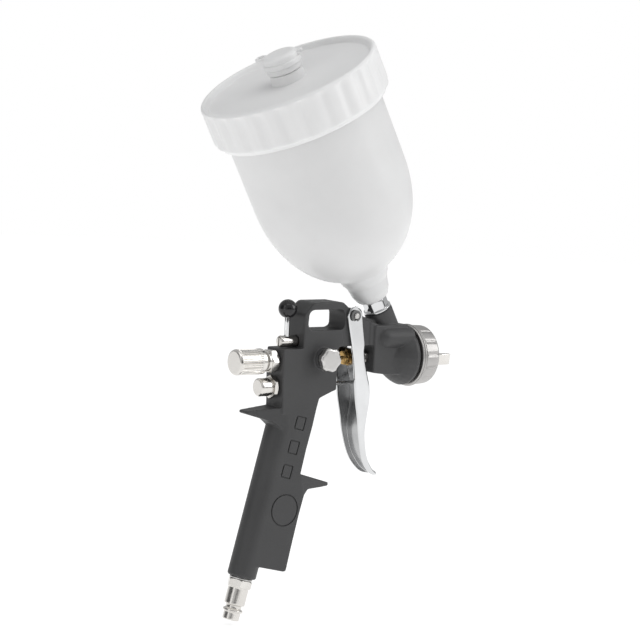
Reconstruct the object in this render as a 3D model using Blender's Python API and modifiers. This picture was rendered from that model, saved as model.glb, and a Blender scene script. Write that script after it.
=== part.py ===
"""Gravity-cup HVLP spray gun, built as the separate pieces that it comes apart into.

Frame: the origin is the blunt tip of the fluid needle. +X is the way the paint leaves, along the
needle's axis, +Z is up and the knob that sets the fan is on the -Y side. Lengths are in metres.
"""
import bmesh
import bpy
from math import cos, pi, radians, sin, sqrt, tan
from mathutils import Matrix, Vector

MM = 0.001
GAP = 0.3 * MM                      # clearance kept wherever two pieces meet
ROUND = 28                          # sides of a turned piece that shows
FINE = 18                           # sides of a small or hidden turned piece
BORE = 12                           # sides of a drilled hole

# ---- driving dimensions -------------------------------------------------------------------
BODY_HALF = 8.8 * MM                # half thickness of the casting's upper plate
HANDLE_HALF = 8.8 * MM              # half thickness of the handle, and radius of its round back
HANDLE_TILT = radians(14.6)         # lean of the air tube in the handle
HANDLE_FOOT = (-126.8, -129.7)      # mm, centre of the air tube's bottom face
MARK_SIZE = (7.4, 8.4)               # mm, outlined rectangles pressed into the handle's side
MARK_LINE = 0.7
MARK_FIRST = (-94.8, -37.2)
MARK_STEP = (-4.1, -14.4)
HANDLE_FRONT_TOE = (-100.4, -127.8)  # mm, lowest front corner of the handle's slab
PLATE_EDGE = 1.6 * MM               # rounding of the casting's edges
HEAD_HALF = 10.0 * MM               # half width of the head block
FLANGE_R = 18.6 * MM                # round flange behind the air cap ring
RIB_R = 6.6 * MM                    # the air passages' ribs on the sides of the head
RIB_Y = 7.6 * MM
RIB_Z = 12.4 * MM
PASSAGE_Z = 13.8 * MM               # air passages inside the ribs
PASSAGE_Y = 5.8 * MM
PASSAGE_R = 1.8 * MM

CUP_TILT = radians(28.79)           # lean of the cup's axis, backwards from upright
CUP_FOOT_X = -17.18 * MM            # where the cup's axis meets the needle's axis
CUP_R = 48.0 * MM                   # outer radius of the cup
CUP_WALL = 1.8 * MM
CUP_BOTTOM = 41.5 * MM              # distances along the cup's axis, from the needle's axis
CUP_NECK_TOP = 56.0 * MM
CUP_BOWL_BOTTOM = 58.0 * MM          # where the bowl's curve would close on the axis
CUP_BOWL_TOP = 122.0 * MM
CUP_TOP = 187.2 * MM
LID_R = 55.0 * MM
LID_WALL = 2.6 * MM
LID_SKIRT = 27.0 * MM
VENT_R = 11.8 * MM                  # the lid's vent cap
VENT_EYE_S = 9.0 * MM               # place of the eye beside it
VENT_EYE_X = -4.3 * MM
VENT_EYE_Y = 13.4 * MM
NECK_R = 8.9 * MM                   # boss on the head that the cup screws into
NECK_TOP = 33.5 * MM
ADAPTER_THREAD_R = 5.2 * MM
ADAPTER_HEX = 16.0 * MM             # across flats

NEEDLE_R = 1.0 * MM
NEEDLE_TIP_R = 0.5 * MM
NEEDLE_TAIL_X = -112.0 * MM
GUIDE_R = 4.6 * MM                  # bush in the rear body that guides the needle
PACKING_R = 2.6 * MM
NUT_FRONT = -51.4 * MM              # brass nuts that the trigger pushes
PUSH_NUT = 4.8 * MM
LOCK_NUT = 2.7 * MM
NOZZLE_THREAD_R = 4.3 * MM
SPRAY_R = 0.86 * MM                 # radius of the fluid nozzle's mouth
CAP_R = 16.2 * MM                   # air cap's flange
CAP_RING_R = 18.8 * MM
CAP_RING_BACK = -10.0 * MM
CAP_LIP = 1.4 * MM                  # inward lip of the ring that holds the air cap
CAP_RING_FRONT = 4.0 * MM
HORN_Y = 13.2 * MM
HORN_LENGTH = 15.0 * MM
CAP_TURN = radians(7.5)             # how far the air cap is turned about the needle's axis

TRIGGER_PIVOT = (-58.2, 26.9)       # mm, x and z
TRIGGER_HALF = 9.8 * MM             # half of its outer width at the arms
SHEET = 1.2 * MM                    # the trigger's steel
TRIGGER_EYE_R = 5.2 * MM
PIVOT_PIN_R = 1.7 * MM
WEB_TOP = 5.0                       # mm, height where the trigger's front wall starts
TRIGGER_STEM_X = -47.0 * MM         # front end of the air valve's stem

REAR_FACE_X = -109.4 * MM           # machined face of the casting behind the needle
FLUID_KNOB_R = 7.76 * MM
FLUID_KNOB_END = -139.0 * MM
KNOB_FRONT = -117.6 * MM
FLUID_SLEEVE_HEX = 13.0 * MM
SPRING_CHAMBER_R = 5.0 * MM
NEEDLE_SPRING_R = 2.4 * MM
SPRING_WIRE = 0.6 * MM

AIR_VALVE_Z = -15.6 * MM
AIR_STEM_R = 1.2 * MM
AIR_GLAND_R = 2.1 * MM
AIR_CHAMBER_R = 5.0 * MM
AIR_CAP_R = 5.5 * MM
AIR_CAP_END = -121.4 * MM
AIR_SPRING_R = 2.9 * MM

FAN_AXIS = (-80.2, 1.4)            # mm, x and z of the fan knob's axis
FAN_KNOB_R = 7.5 * MM
FAN_KNOB_FACE = -18.0 * MM
FAN_SPINDLE_R = 1.6 * MM
FAN_BUSH_R = 3.2 * MM
FAN_BOSS_R = 6.4 * MM
FAN_BOSS_HEIGHT = 2.4 * MM
FAN_FLANGE = 0.6 * MM               # thickness of the fan bush's flange

LEVER_Z = 11.5 * MM
LEVER_SPINDLE_R = 3.1 * MM
LEVER_X = -101.7 * MM
LEVER_ROD_R = 1.7 * MM
LEVER_BALL_R = 5.7 * MM
LEVER_BALL_Z = 31.0 * MM

PLUG_THREAD_R = 5.0 * MM
PLUG_HEX = 13.6 * MM
PLUG_R = 6.3 * MM
PLUG_BORE_R = 3.5 * MM

# ---- derived places -----------------------------------------------------------------------
X_AXIS = Vector((1, 0, 0))
Y_AXIS = Vector((0, 1, 0))
Z_AXIS = Vector((0, 0, 1))
CUP_AXIS = Vector((-sin(CUP_TILT), 0, cos(CUP_TILT)))
CUP_FOOT = Vector((CUP_FOOT_X, 0, 0))
PLUG_AXIS = Vector((-sin(HANDLE_TILT), 0, -cos(HANDLE_TILT)))
PLUG_FOOT = Vector((HANDLE_FOOT[0] * MM, 0, HANDLE_FOOT[1] * MM))
PIVOT = Vector((TRIGGER_PIVOT[0] * MM, 0, TRIGGER_PIVOT[1] * MM))
AIR_VALVE = Vector((0, 0, AIR_VALVE_Z))
FAN = Vector((FAN_AXIS[0] * MM, 0, FAN_AXIS[1] * MM))
LEVER = Vector((0, 0, LEVER_Z))
LUG_HALF = TRIGGER_HALF - SHEET - GAP           # casting between the trigger's arms
ADAPTER_LOW = NECK_TOP - 9.5 * MM               # lower end of the cup adapter's thread


def clear_scene():
    for old in list(bpy.data.objects):
        bpy.data.objects.remove(old, do_unlink=True)


def new_collection(name):
    made = bpy.data.collections.new(name)
    bpy.context.scene.collection.children.link(made)
    return made


clear_scene()
PARTS = new_collection("hvlp_spray_gun")
CUTTERS = new_collection("cutters")


def material(name, colour, roughness, metallic, alpha=1.0):
    made = bpy.data.materials.new(name)
    made.use_nodes = True
    shader = made.node_tree.nodes["Principled BSDF"]
    shader.inputs["Base Color"].default_value = (*colour, 1.0)
    shader.inputs["Roughness"].default_value = roughness
    shader.inputs["Metallic"].default_value = metallic
    shader.inputs["Alpha"].default_value = alpha
    return made


CASTING = material("body_paint", (0.045, 0.045, 0.047), 0.5, 0.0)
NICKEL = material("nickel", (0.72, 0.69, 0.66), 0.25, 1.0)
CHROME = material("chrome", (0.82, 0.83, 0.84), 0.08, 1.0)
STEEL = material("steel", (0.6, 0.6, 0.6), 0.3, 1.0)
BRASS = material("brass", (0.75, 0.52, 0.2), 0.3, 1.0)
CUP_PLASTIC = material("cup_plastic", (0.83, 0.83, 0.83), 0.4, 0.0)
LID_PLASTIC = material("lid_plastic", (0.88, 0.88, 0.88), 0.45, 0.0)
BLACK_PLASTIC = material("black_plastic", (0.05, 0.05, 0.05), 0.3, 0.0)
SEAL = material("seal", (0.8, 0.8, 0.78), 0.6, 0.0)
RUBBER = material("rubber", (0.03, 0.03, 0.03), 0.7, 0.0)


# ---- modelling helpers --------------------------------------------------------------------
def add_object(name, mesh, finish):
    """Link a mesh as a sub-part, or as a hidden cutter when it has no finish."""
    made = bpy.data.objects.new(name, mesh)
    if finish is None:
        CUTTERS.objects.link(made)
        made.hide_render = True
        made.display_type = "WIRE"
    else:
        PARTS.objects.link(made)
        mesh.materials.append(finish)
    return made


def aim(thing, origin, axis):
    """Put an object's own Z along an axis that starts at an origin."""
    thing.location = origin
    thing.rotation_mode = "QUATERNION"
    thing.rotation_quaternion = Z_AXIS.rotation_difference(axis)
    return thing


def smooth(thing, angle=35):
    thing.data.shade_smooth()
    thing.data.set_sharp_from_angle(angle=radians(angle))
    return thing


def settle(thing):
    """Replace an object's mesh by its evaluated one, so that later modifiers act on that."""
    bpy.context.view_layer.update()
    evaluated = thing.evaluated_get(bpy.context.evaluated_depsgraph_get())
    mesh = bpy.data.meshes.new_from_object(evaluated)
    thing.modifiers.clear()
    thing.data = mesh
    return thing


def revolve(thing, sides):
    """Turn a drawn profile about its object's own Z."""
    lathe = thing.modifiers.new("lathe", "SCREW")
    lathe.steps = sides
    lathe.render_steps = sides
    lathe.use_merge_vertices = True
    lathe.merge_threshold = 0.01 * MM
    lathe.use_smooth_shade = True
    return settle(thing)


def turned(name, profile, origin, axis, finish, sides=ROUND):
    """A lathe piece. The profile's (distance, radius) pairs run down the outer side; one that
    doesn't start on the axis is closed along its bore."""
    mesh = bpy.data.meshes.new(name)
    points = [(radius, 0, distance) for distance, radius in profile]
    edges = [(i, i + 1) for i in range(len(points) - 1)]
    if profile[0][1] > 0:
        edges.append((len(points) - 1, 0))
    mesh.from_pydata(points, edges, [])
    return revolve(aim(add_object(name, mesh, finish), origin, axis), sides)


def lathe_blind(name, outside, inside, centre, axis, finish, sides=FINE):
    """A turned cup: both profiles end on the axis, the inside one starting there."""
    chain = inside + outside
    mesh = bpy.data.meshes.new(name)
    mesh.from_pydata([(radius, 0, distance) for distance, radius in chain],
                     [(i, i + 1) for i in range(len(chain) - 1)], [])
    return revolve(aim(add_object(name, mesh, finish), centre, axis), sides)


def rod(name, start, end, radius, finish=None, sides=BORE, turn=0.0):
    """A round bar, or a hexagonal one, between two points."""
    span = Vector(end) - Vector(start)
    mesh = bpy.data.meshes.new(name)
    shape = bmesh.new()
    bmesh.ops.create_cone(shape, cap_ends=True, segments=sides, radius1=radius, radius2=radius,
                          depth=span.length,
                          matrix=Matrix.Translation((0, 0, span.length / 2))
                          @ Matrix.Rotation(turn, 4, "Z"))
    shape.to_mesh(mesh)
    shape.free()
    return aim(add_object(name, mesh, finish), start, span.normalized())


def block(name, low, high, finish=None):
    """A box between two corners given in metres."""
    low = Vector(low)
    high = Vector(high)
    size = high - low
    mesh = bpy.data.meshes.new(name)
    shape = bmesh.new()
    bmesh.ops.create_cube(shape, size=1.0, matrix=Matrix.Translation((low + high) / 2)
                          @ Matrix.Diagonal((*size, 1.0)))
    shape.to_mesh(mesh)
    shape.free()
    return add_object(name, mesh, finish)


def rounded(corners, steps=3):
    """The points, in mm, of an outline whose corners (x, z, radius) are filleted by arcs."""
    points = []
    for i, (x, z, radius) in enumerate(corners):
        here = Vector((x, z))
        before = (Vector(corners[i - 1][:2]) - here).normalized()
        after = (Vector(corners[(i + 1) % len(corners)][:2]) - here).normalized()
        if radius == 0:
            points.append(here)
            continue
        half = before.angle(after) / 2
        centre = here + (before + after).normalized() * radius / sin(half)
        start = here + before * radius / tan(half) - centre
        sweep = pi - 2 * half
        if before.x * after.y - before.y * after.x > 0:
            sweep = -sweep
        for k in range(steps + 1):
            points.append(centre + Matrix.Rotation(sweep * k / steps, 2) @ start)
    return points


def plate(name, outlines, half, finish=None, edge=0.0, middle=0.0, flat=False):
    """A side outline in mm, with any holes in it, drawn in X and Z and extruded along Y.
    With flat, it is drawn in X and Y and extruded along Z. Its long edges can be rounded."""
    curve = bpy.data.curves.new(name, "CURVE")
    curve.dimensions = "2D"
    curve.fill_mode = "BOTH"
    curve.extrude = half
    for outline in outlines:
        spline = curve.splines.new("POLY")
        spline.points.add(len(outline) - 1)
        for point, (x, z) in zip(spline.points, outline):
            point.co = (x * MM, z * MM, 0, 1)
        spline.use_cyclic_u = True
    drawn = bpy.data.objects.new(name + "_outline", curve)
    CUTTERS.objects.link(drawn)
    if flat:
        drawn.location = (0, 0, middle)
    else:
        drawn.rotation_euler = (pi / 2, 0, 0)
        drawn.location = (0, middle, 0)
    bpy.context.view_layer.update()
    mesh = bpy.data.meshes.new_from_object(drawn.evaluated_get(
        bpy.context.evaluated_depsgraph_get()))
    shape = bmesh.new()
    shape.from_mesh(mesh)
    bmesh.ops.remove_doubles(shape, verts=shape.verts, dist=0.01 * MM)
    shape.to_mesh(mesh)
    shape.free()
    made = add_object(name, mesh, finish)
    made.matrix_world = drawn.matrix_world.copy()
    bpy.data.objects.remove(drawn, do_unlink=True)
    if edge:
        bevel = made.modifiers.new("edge", "BEVEL")
        bevel.width = edge
        bevel.segments = 2
        bevel.angle_limit = radians(50)
    return made


def combine(thing, others, operation, solver="EXACT"):
    for other in others:
        step = thing.modifiers.new(operation.lower(), "BOOLEAN")
        step.operation = operation
        step.solver = solver
        step.object = other
    return thing


def add(thing, others, solver="EXACT"):
    return combine(thing, others, "UNION", solver)


def cut(thing, others, solver="EXACT"):
    return combine(thing, others, "DIFFERENCE", solver)


def helix(name, start, axis, length, radius, turns, finish, per_turn=10):
    """A compression spring of round wire with its end turns close together."""
    curve = bpy.data.curves.new(name, "CURVE")
    curve.dimensions = "3D"
    curve.bevel_depth = SPRING_WIRE / 2
    curve.bevel_resolution = 1
    curve.use_fill_caps = True
    spline = curve.splines.new("POLY")
    count = turns * per_turn + 1
    spline.points.add(count - 1)
    for i, point in enumerate(spline.points):
        angle = 2 * pi * i / per_turn
        point.co = (radius * cos(angle), radius * sin(angle),
                    SPRING_WIRE / 2 + (length - SPRING_WIRE) * i / (count - 1), 1)
    drawn = aim(bpy.data.objects.new(name + "_wire", curve), start, axis)
    CUTTERS.objects.link(drawn)
    bpy.context.view_layer.update()
    mesh = bpy.data.meshes.new_from_object(drawn.evaluated_get(
        bpy.context.evaluated_depsgraph_get()))
    shape = bmesh.new()
    shape.from_mesh(mesh)
    bmesh.ops.remove_doubles(shape, verts=shape.verts, dist=0.01 * MM)
    shape.to_mesh(mesh)
    shape.free()
    made = add_object(name, mesh, finish)
    made.matrix_world = drawn.matrix_world.copy()
    bpy.data.objects.remove(drawn, do_unlink=True)
    return made


def hexagon(across_flats):
    """The corner radius of a hexagon."""
    return across_flats / sqrt(3)


def along(axis_point, axis, distance):
    return Vector(axis_point) + Vector(axis) * distance


# ---- the casting --------------------------------------------------------------------------
def upper_plate():
    """Rear body, hanging loop, bridge and pivot lug, as one thick plate with the loop's window."""
    outside = rounded([
        (-110.0, 7.7, 1.5), (-95.0, 7.7, 0.0), (-95.0, 28.0, 3.0), (-88.4, 35.3, 4.0),
        (-66.5, 35.3, 6.0), (-61.5, 31.4, 1.0), (-56.5, 31.2, 3.0), (-52.5, 25.0, 1.0),
        (-38.0, 21.0, 0.0), (-38.0, 8.0, 0.0), (-68.8, 8.0, 2.0), (-68.8, -18.2, 0.8),
        (-72.0, -19.2, 1.0), (-81.3, -22.8, 1.5), (-83.5, -31.0, 0.0), (-108.4, -31.0, 0.0)])
    window = rounded([(-92.0, 18.4, 3.5), (-64.5, 18.4, 3.5), (-64.5, 30.8, 4.0),
                      (-91.6, 30.8, 4.0)])
    return plate("gun_body", [outside, window], BODY_HALF, CASTING, PLATE_EDGE)


def handle():
    """The handle's slab, leaning with the air tube that makes its round back."""
    toe_x, toe_z = HANDLE_FRONT_TOE
    heel_z = toe_z + 5.1
    tube_x = HANDLE_FOOT[0] - (HANDLE_FOOT[1] - heel_z) * tan(HANDLE_TILT)
    slab = plate("handle_slab", [rounded([
        (-99.0, -20.0, 0.0), (-80.5, -20.0, 0.0), (-82.2, -25.5, 0.0), (-85.3, -39.3, 0.0),
        (-89.1, -53.1, 0.0), (-92.6, -68.2, 0.0), (-89.3, -82.0, 0.0), (-92.4, -93.1, 0.0),
        (-97.0, -112.4, 0.0), (toe_x, toe_z, 1.6), (tube_x + 4.2, heel_z, 0.0),
        (tube_x, heel_z, 0.0)])], HANDLE_HALF, None, PLATE_EDGE)
    tube = turned("handle_tube", [(0, 0), (0, HANDLE_HALF - 0.8 * MM), (-0.8 * MM, HANDLE_HALF),
                                  (-107.0 * MM, HANDLE_HALF), (-107.0 * MM, 0)],
                  PLUG_FOOT, PLUG_AXIS, None)
    return [slab, tube]


def horn(name, side, root_x, tip_x, root_half, tip_half):
    """A hand-guard horn: a wedge seen from the side and a tongue seen from above."""
    wedge = plate(name, [rounded(side)], HANDLE_HALF, None)
    low = min(z for _, z, _ in side) - 2.0
    high = max(z for _, z, _ in side) + 2.0
    reach = 1.0 if tip_x > root_x else -1.0
    tongue = plate(name + "_tongue", [rounded([
        (root_x, -root_half, 0.0), (root_x + 4.0 * reach, -root_half, 1.0),
        (tip_x, -tip_half, 2.6), (tip_x, tip_half, 2.6),
        (root_x + 4.0 * reach, root_half, 1.0), (root_x, root_half, 0.0)])],
        (high - low) / 2 * MM, None, 0.0, (high + low) / 2 * MM, True)
    wedge = combine(wedge, [tongue], "INTERSECT")
    settle(wedge)
    bpy.data.objects.remove(tongue, do_unlink=True)
    return wedge


def horns():
    half = HANDLE_HALF / MM
    rear = horn("rear_horn", [(-100.0, -27.5, 0.0), (-109.0, -27.5, 0.0), (-131.4, -28.9, 0.7),
                              (-131.6, -30.4, 0.7), (-114.0, -35.6, 4.5), (-107.0, -41.0, 0.0),
                              (-100.0, -41.0, 0.0)], -100.0, -131.8, half, 4.2)
    front = horn("front_horn", [(-96.0, -67.4, 0.0), (-92.4, -68.4, 0.0), (-68.0, -76.0, 0.9),
                                (-68.0, -78.0, 0.9), (-86.0, -78.4, 2.0), (-89.5, -82.5, 0.0),
                                (-96.0, -82.5, 0.0)], -96.0, -67.6, half, 4.6)
    return [rear, front]


def head():
    """Block, side ribs, flange with its threaded spigot, neck boss and the web behind it."""
    pieces = [plate("head_block", [rounded([
        (-42.0, -8.9, 1.0), (-29.0, -10.6, 0.0), (-16.0, -10.6, 0.0), (-16.0, 20.5, 0.0),
        (-42.0, 20.5, 1.5)])], HEAD_HALF, None, PLATE_EDGE)]
    flange = [(-11.2 * MM, 0), (-11.2 * MM, FLANGE_R - 0.5 * MM), (-14.0 * MM, FLANGE_R),
              (-17.8 * MM, FLANGE_R - 1.9 * MM), (-21.0 * MM, FLANGE_R - 4.1 * MM),
              (-24.5 * MM, FLANGE_R - 7.4 * MM), (-30.0 * MM, 8.0 * MM), (-30.0 * MM, 0)]
    pieces.append(turned("head_flange", flange, (0, 0, 0), X_AXIS, None, ROUND))
    pieces.append(rod("head_spigot", (-14 * MM, 0, 0), (-6 * MM, 0, 0),
                      CAP_R - GAP, None, ROUND))
    for side in (-1, 1):
        nose = [(-(32.6 * MM) - RIB_R * sin(a), RIB_R * cos(a))
                for a in [k * pi / 10 for k in range(5, -1, -1)]]
        profile = [(-13.0 * MM, 0), (-13.0 * MM, RIB_R)] + nose[::-1]
        pieces.append(turned("rib", profile, (0, side * RIB_Y, RIB_Z), X_AXIS, None, FINE))
    top = NECK_TOP
    pieces.append(turned("neck_boss", [(top, 0), (top, NECK_R - 0.6 * MM),
                                       (top - 0.6 * MM, NECK_R), (9 * MM, NECK_R), (9 * MM, 0)],
                         CUP_FOOT, CUP_AXIS, None, ROUND))
    pieces.append(plate("neck_web", [rounded([
        (-60.0, 19.0, 0.0), (-60.0, 27.0, 0.0), (-53.0, 28.0, 1.0), (-46.0, 25.0, 3.0),
        (-38.0, 23.0, 0.0), (-26.0, 19.0, 0.0)])], 4.5 * MM, None, 1.0 * MM))
    return pieces


def fan_boss():
    start = FAN - Y_AXIS * (BODY_HALF - 2 * MM)
    return rod("fan_boss", start, FAN - Y_AXIS * (BODY_HALF + FAN_BOSS_HEIGHT), FAN_BOSS_R,
               None, ROUND)


def body_bores():
    """Every hole and pocket of the casting."""
    clear = GAP
    far = 30 * MM
    pocket_x = (-65.8 * MM, -45.0 * MM)
    bores = []
    for side in (-1, 1):
        outer = side * far
        inner = side * LUG_HALF
        bores.append(block("trigger_pocket", (pocket_x[0], min(outer, inner), 5 * MM),
                           (pocket_x[1], max(outer, inner), 45 * MM)))
        bores.append(rod("air_riser", (FAN.x, side * 4.6 * MM, AIR_VALVE_Z),
                         (FAN.x, side * 4.6 * MM, PASSAGE_Z), 1.6 * MM))
        bores.append(rod("air_way", (FAN.x - 2 * MM, side * PASSAGE_Y, PASSAGE_Z),
                         (-14.5 * MM, side * PASSAGE_Y, PASSAGE_Z), PASSAGE_R))
    bores += [
        rod("needle_bore", (-115 * MM, 0, 0), (5 * MM, 0, 0), NEEDLE_R + clear),
        rod("spring_chamber", (-120 * MM, 0, 0), (-92 * MM, 0, 0), SPRING_CHAMBER_R, None, FINE),
        rod("guide_pocket", (-80 * MM + 5 * MM, 0, 0), (-60 * MM, 0, 0), GUIDE_R + clear,
            None, FINE),
        rod("packing_pocket", (-33.3 * MM, 0, 0), (-50 * MM, 0, 0), PACKING_R + clear),
        rod("fluid_chamber", (-31.5 * MM, 0, 0), (-5 * MM, 0, 0), 3.4 * MM),
        rod("nozzle_thread", (-14 * MM, 0, 0), (-5 * MM, 0, 0), NOZZLE_THREAD_R + clear,
            None, FINE),
        rod("pivot_bore", PIVOT - Y_AXIS * far, PIVOT + Y_AXIS * far, PIVOT_PIN_R + clear),
        rod("fan_bore", FAN - Y_AXIS * far, FAN - Y_AXIS * 2.8 * MM, FAN_BUSH_R + clear),
        rod("lever_bore", (-120 * MM, 0, LEVER_Z), (-73 * MM, 0, LEVER_Z),
            LEVER_SPINDLE_R + clear),
        rod("air_chamber", (-120 * MM, 0, AIR_VALVE_Z), (-90 * MM, 0, AIR_VALVE_Z),
            AIR_CHAMBER_R, None, FINE),
        rod("air_seat", (-92 * MM, 0, AIR_VALVE_Z), (-75 * MM, 0, AIR_VALVE_Z), 3.4 * MM),
        rod("air_gland_bore", (-80 * MM, 0, AIR_VALVE_Z), (-60 * MM, 0, AIR_VALVE_Z),
            AIR_GLAND_R + clear),
        rod("handle_air_way", along(PLUG_FOOT, PLUG_AXIS, 5 * MM),
            along(PLUG_FOOT, PLUG_AXIS, -112 * MM), PLUG_BORE_R),
        rod("inlet_thread", along(PLUG_FOOT, PLUG_AXIS, 5 * MM),
            along(PLUG_FOOT, PLUG_AXIS, -10.5 * MM), PLUG_THREAD_R + clear, None, FINE),
        rod("neck_bore", along(CUP_FOOT, CUP_AXIS, NECK_TOP + 5 * MM),
            along(CUP_FOOT, CUP_AXIS, ADAPTER_LOW - clear), ADAPTER_THREAD_R + clear, None, FINE),
        rod("paint_way", along(CUP_FOOT, CUP_AXIS, NECK_TOP), CUP_FOOT, 3.4 * MM),
        air_groove(),
    ]
    return bores


def air_groove():
    """The ring-shaped air chamber in the front of the head."""
    return turned("air_groove", [(-4 * MM, 14.4 * MM), (-16 * MM, 14.4 * MM),
                                 (-16 * MM, 8.0 * MM), (-4 * MM, 8.0 * MM)],
                  (0, 0, 0), X_AXIS, None, ROUND)


def side_marks():
    """Shallow outlines of upright rectangles pressed into the near side of the handle."""
    marks = []
    turn = Matrix.Rotation(-HANDLE_TILT, 2)
    for step in range(3):
        centre = Vector(MARK_FIRST) + step * Vector(MARK_STEP)
        rings = []
        for inset in (0.0, MARK_LINE):
            half = (MARK_SIZE[0] / 2 - inset, MARK_SIZE[1] / 2 - inset)
            rings.append([tuple(centre + turn @ Vector((half[0] * a, half[1] * b)))
                          for a, b in ((-1, -1), (1, -1), (1, 1), (-1, 1))])
        marks.append(plate("square_mark", rings, 1.0 * MM, None, 0.0, -HANDLE_HALF - 0.6 * MM))
    return marks


def gun_body():
    body = upper_plate()
    add(body, handle() + horns() + head() + [fan_boss()], "MANIFOLD")
    rear = block("rear_trim", (-140 * MM, -30 * MM, -26.5 * MM), (REAR_FACE_X, 30 * MM, 20 * MM))
    cut(body, body_bores() + side_marks() + [rear], "MANIFOLD")
    return smooth(settle(body), 30)


# ---- fluid side ---------------------------------------------------------------------------
def fluid_nozzle():
    mouth = -0.5 * MM
    profile = [(mouth, SPRAY_R + 0.6 * MM), (-3.6 * MM, 4.4 * MM), (-6.3 * MM, 4.4 * MM),
               (-6.3 * MM, NOZZLE_THREAD_R), (-13.7 * MM, NOZZLE_THREAD_R),
               (-13.7 * MM, 2.4 * MM), (-5.0 * MM, 2.4 * MM), (-1.2 * MM, SPRAY_R),
               (mouth, SPRAY_R)]
    nozzle = turned("fluid_nozzle", profile, (0, 0, 0), X_AXIS, STEEL, FINE)
    spanner = rod("nozzle_hex", (-5.7 * MM, 0, 0), (-3.8 * MM, 0, 0), 6.6 * MM, None, 6)
    bore = rod("nozzle_hex_bore", (-7 * MM, 0, 0), (-2 * MM, 0, 0), 3.4 * MM, None, FINE)
    add(nozzle, [cut(spanner, [bore])])
    return smooth(settle(nozzle))


def needle():
    shoulder = NEEDLE_R + 1.7 * MM
    profile = [(0, 0), (0, NEEDLE_TIP_R), (-4.6 * MM, NEEDLE_R), (-95.5 * MM, NEEDLE_R),
               (-95.5 * MM, shoulder), (-97.0 * MM, shoulder), (-97.0 * MM, NEEDLE_R),
               (NEEDLE_TAIL_X, NEEDLE_R), (NEEDLE_TAIL_X, 0)]
    return smooth(turned("needle", profile, (0, 0, 0), X_AXIS, STEEL, FINE))


def washer(name, near, far, outer, inner, finish, centre=(0, 0, 0), axis=X_AXIS, sides=FINE):
    """A plain ring between two distances along an axis; near is the larger."""
    return smooth(turned(name, [(near, outer), (far, outer), (far, inner), (near, inner)],
                         centre, axis, finish, sides))


def hex_fitting(name, profile, hex_from, hex_to, across, bore, centre, axis, finish,
                sides=FINE, turn=0.0):
    """A turned fitting with a hexagon around part of its length."""
    made = turned(name, profile, centre, axis, finish, sides)
    ring = rod(name + "_hex", along(centre, axis, hex_from), along(centre, axis, hex_to),
               hexagon(across), None, 6, turn)
    cutter = rod(name + "_hex_bore", along(centre, axis, hex_from - 1 * MM),
                 along(centre, axis, hex_to + 1 * MM), bore, None, sides)
    add(made, [cut(ring, [cutter])])
    return smooth(settle(made))


def needle_seals():
    washer("needle_packing", -33.6 * MM, -36.4 * MM, PACKING_R, NEEDLE_R + 0.1 * MM, SEAL)
    inner = NEEDLE_R + GAP
    hex_fitting("packing_nut", [(-37.0 * MM, PACKING_R), (-44.6 * MM, PACKING_R),
                                (-45.4 * MM, PACKING_R - 0.7 * MM), (-45.4 * MM, inner),
                                (-37.0 * MM, inner)],
                -44.6 * MM, -42.3 * MM, 10.4 * MM, 2.0 * MM, (0, 0, 0), X_AXIS, NICKEL)
    hex_fitting("needle_guide_bush", [(-63.6 * MM, 5.0 * MM), (-68.5 * MM, 5.0 * MM),
                                      (-68.5 * MM, GUIDE_R), (-74.6 * MM, GUIDE_R),
                                      (-74.6 * MM, inner), (-63.6 * MM, inner)],
                -68.5 * MM, -65.2 * MM, 11.5 * MM, 3.0 * MM, (0, 0, 0), X_AXIS, NICKEL)


def needle_nuts():
    inner = NEEDLE_R + 0.1 * MM
    hex_fitting("needle_push_nut", [(NUT_FRONT, 4.3 * MM), (NUT_FRONT - PUSH_NUT, 4.3 * MM),
                                    (NUT_FRONT - PUSH_NUT, inner), (NUT_FRONT, inner)],
                NUT_FRONT - 4.2 * MM, NUT_FRONT - 0.8 * MM, 8.8 * MM, 2.0 * MM, (0, 0, 0),
                X_AXIS, BRASS)
    lock = NUT_FRONT - PUSH_NUT - GAP
    back = lock - LOCK_NUT
    hex_fitting("needle_lock_nut", [(lock, 3.6 * MM), (back, 3.6 * MM), (back, inner),
                                    (lock, inner)], back + 0.4 * MM, lock - 0.4 * MM, 8.0 * MM, 2.0 * MM, (0, 0, 0), X_AXIS, BRASS,
                turn=pi / 6)


def fluid_control():
    """Sleeve screwed into the casting, the spring inside it and the knob screwed over it."""
    bore = NEEDLE_SPRING_R + 0.9 * MM
    thread = SPRING_CHAMBER_R - GAP
    hex_fitting("fluid_sleeve", [(-103.0 * MM, thread), (REAR_FACE_X - GAP, thread),
                                 (REAR_FACE_X - GAP, 6.2 * MM), (-117.2 * MM, 6.2 * MM),
                                 (-117.2 * MM, thread), (-128.0 * MM, thread),
                                 (-128.0 * MM, bore), (-103.0 * MM, bore)],
                -115.4 * MM, REAR_FACE_X - GAP - 1.2 * MM, FLUID_SLEEVE_HEX, bore + 0.6 * MM,
                (0, 0, 0), X_AXIS, NICKEL, turn=pi / 6)
    hollow = thread + GAP
    end = FLUID_KNOB_END
    deep = end + 4.0 * MM
    smooth(lathe_blind("fluid_knob", [
        (KNOB_FRONT, 6.3 * MM), (KNOB_FRONT - 0.7 * MM, 6.6 * MM),
        (KNOB_FRONT - 2.2 * MM, FLUID_KNOB_R), (end + 1.2 * MM, FLUID_KNOB_R),
        (end + 0.3 * MM, FLUID_KNOB_R - 0.6 * MM), (end, FLUID_KNOB_R - 1.0 * MM), (end, 0)],
        [(deep, 0), (deep, hollow), (KNOB_FRONT, hollow)], (0, 0, 0), X_AXIS, NICKEL, ROUND))
    start = deep + GAP
    stop = -97.0 * MM - GAP
    helix("needle_spring", (start, 0, 0), X_AXIS, stop - start, NEEDLE_SPRING_R, 9, STEEL, 8)


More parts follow.
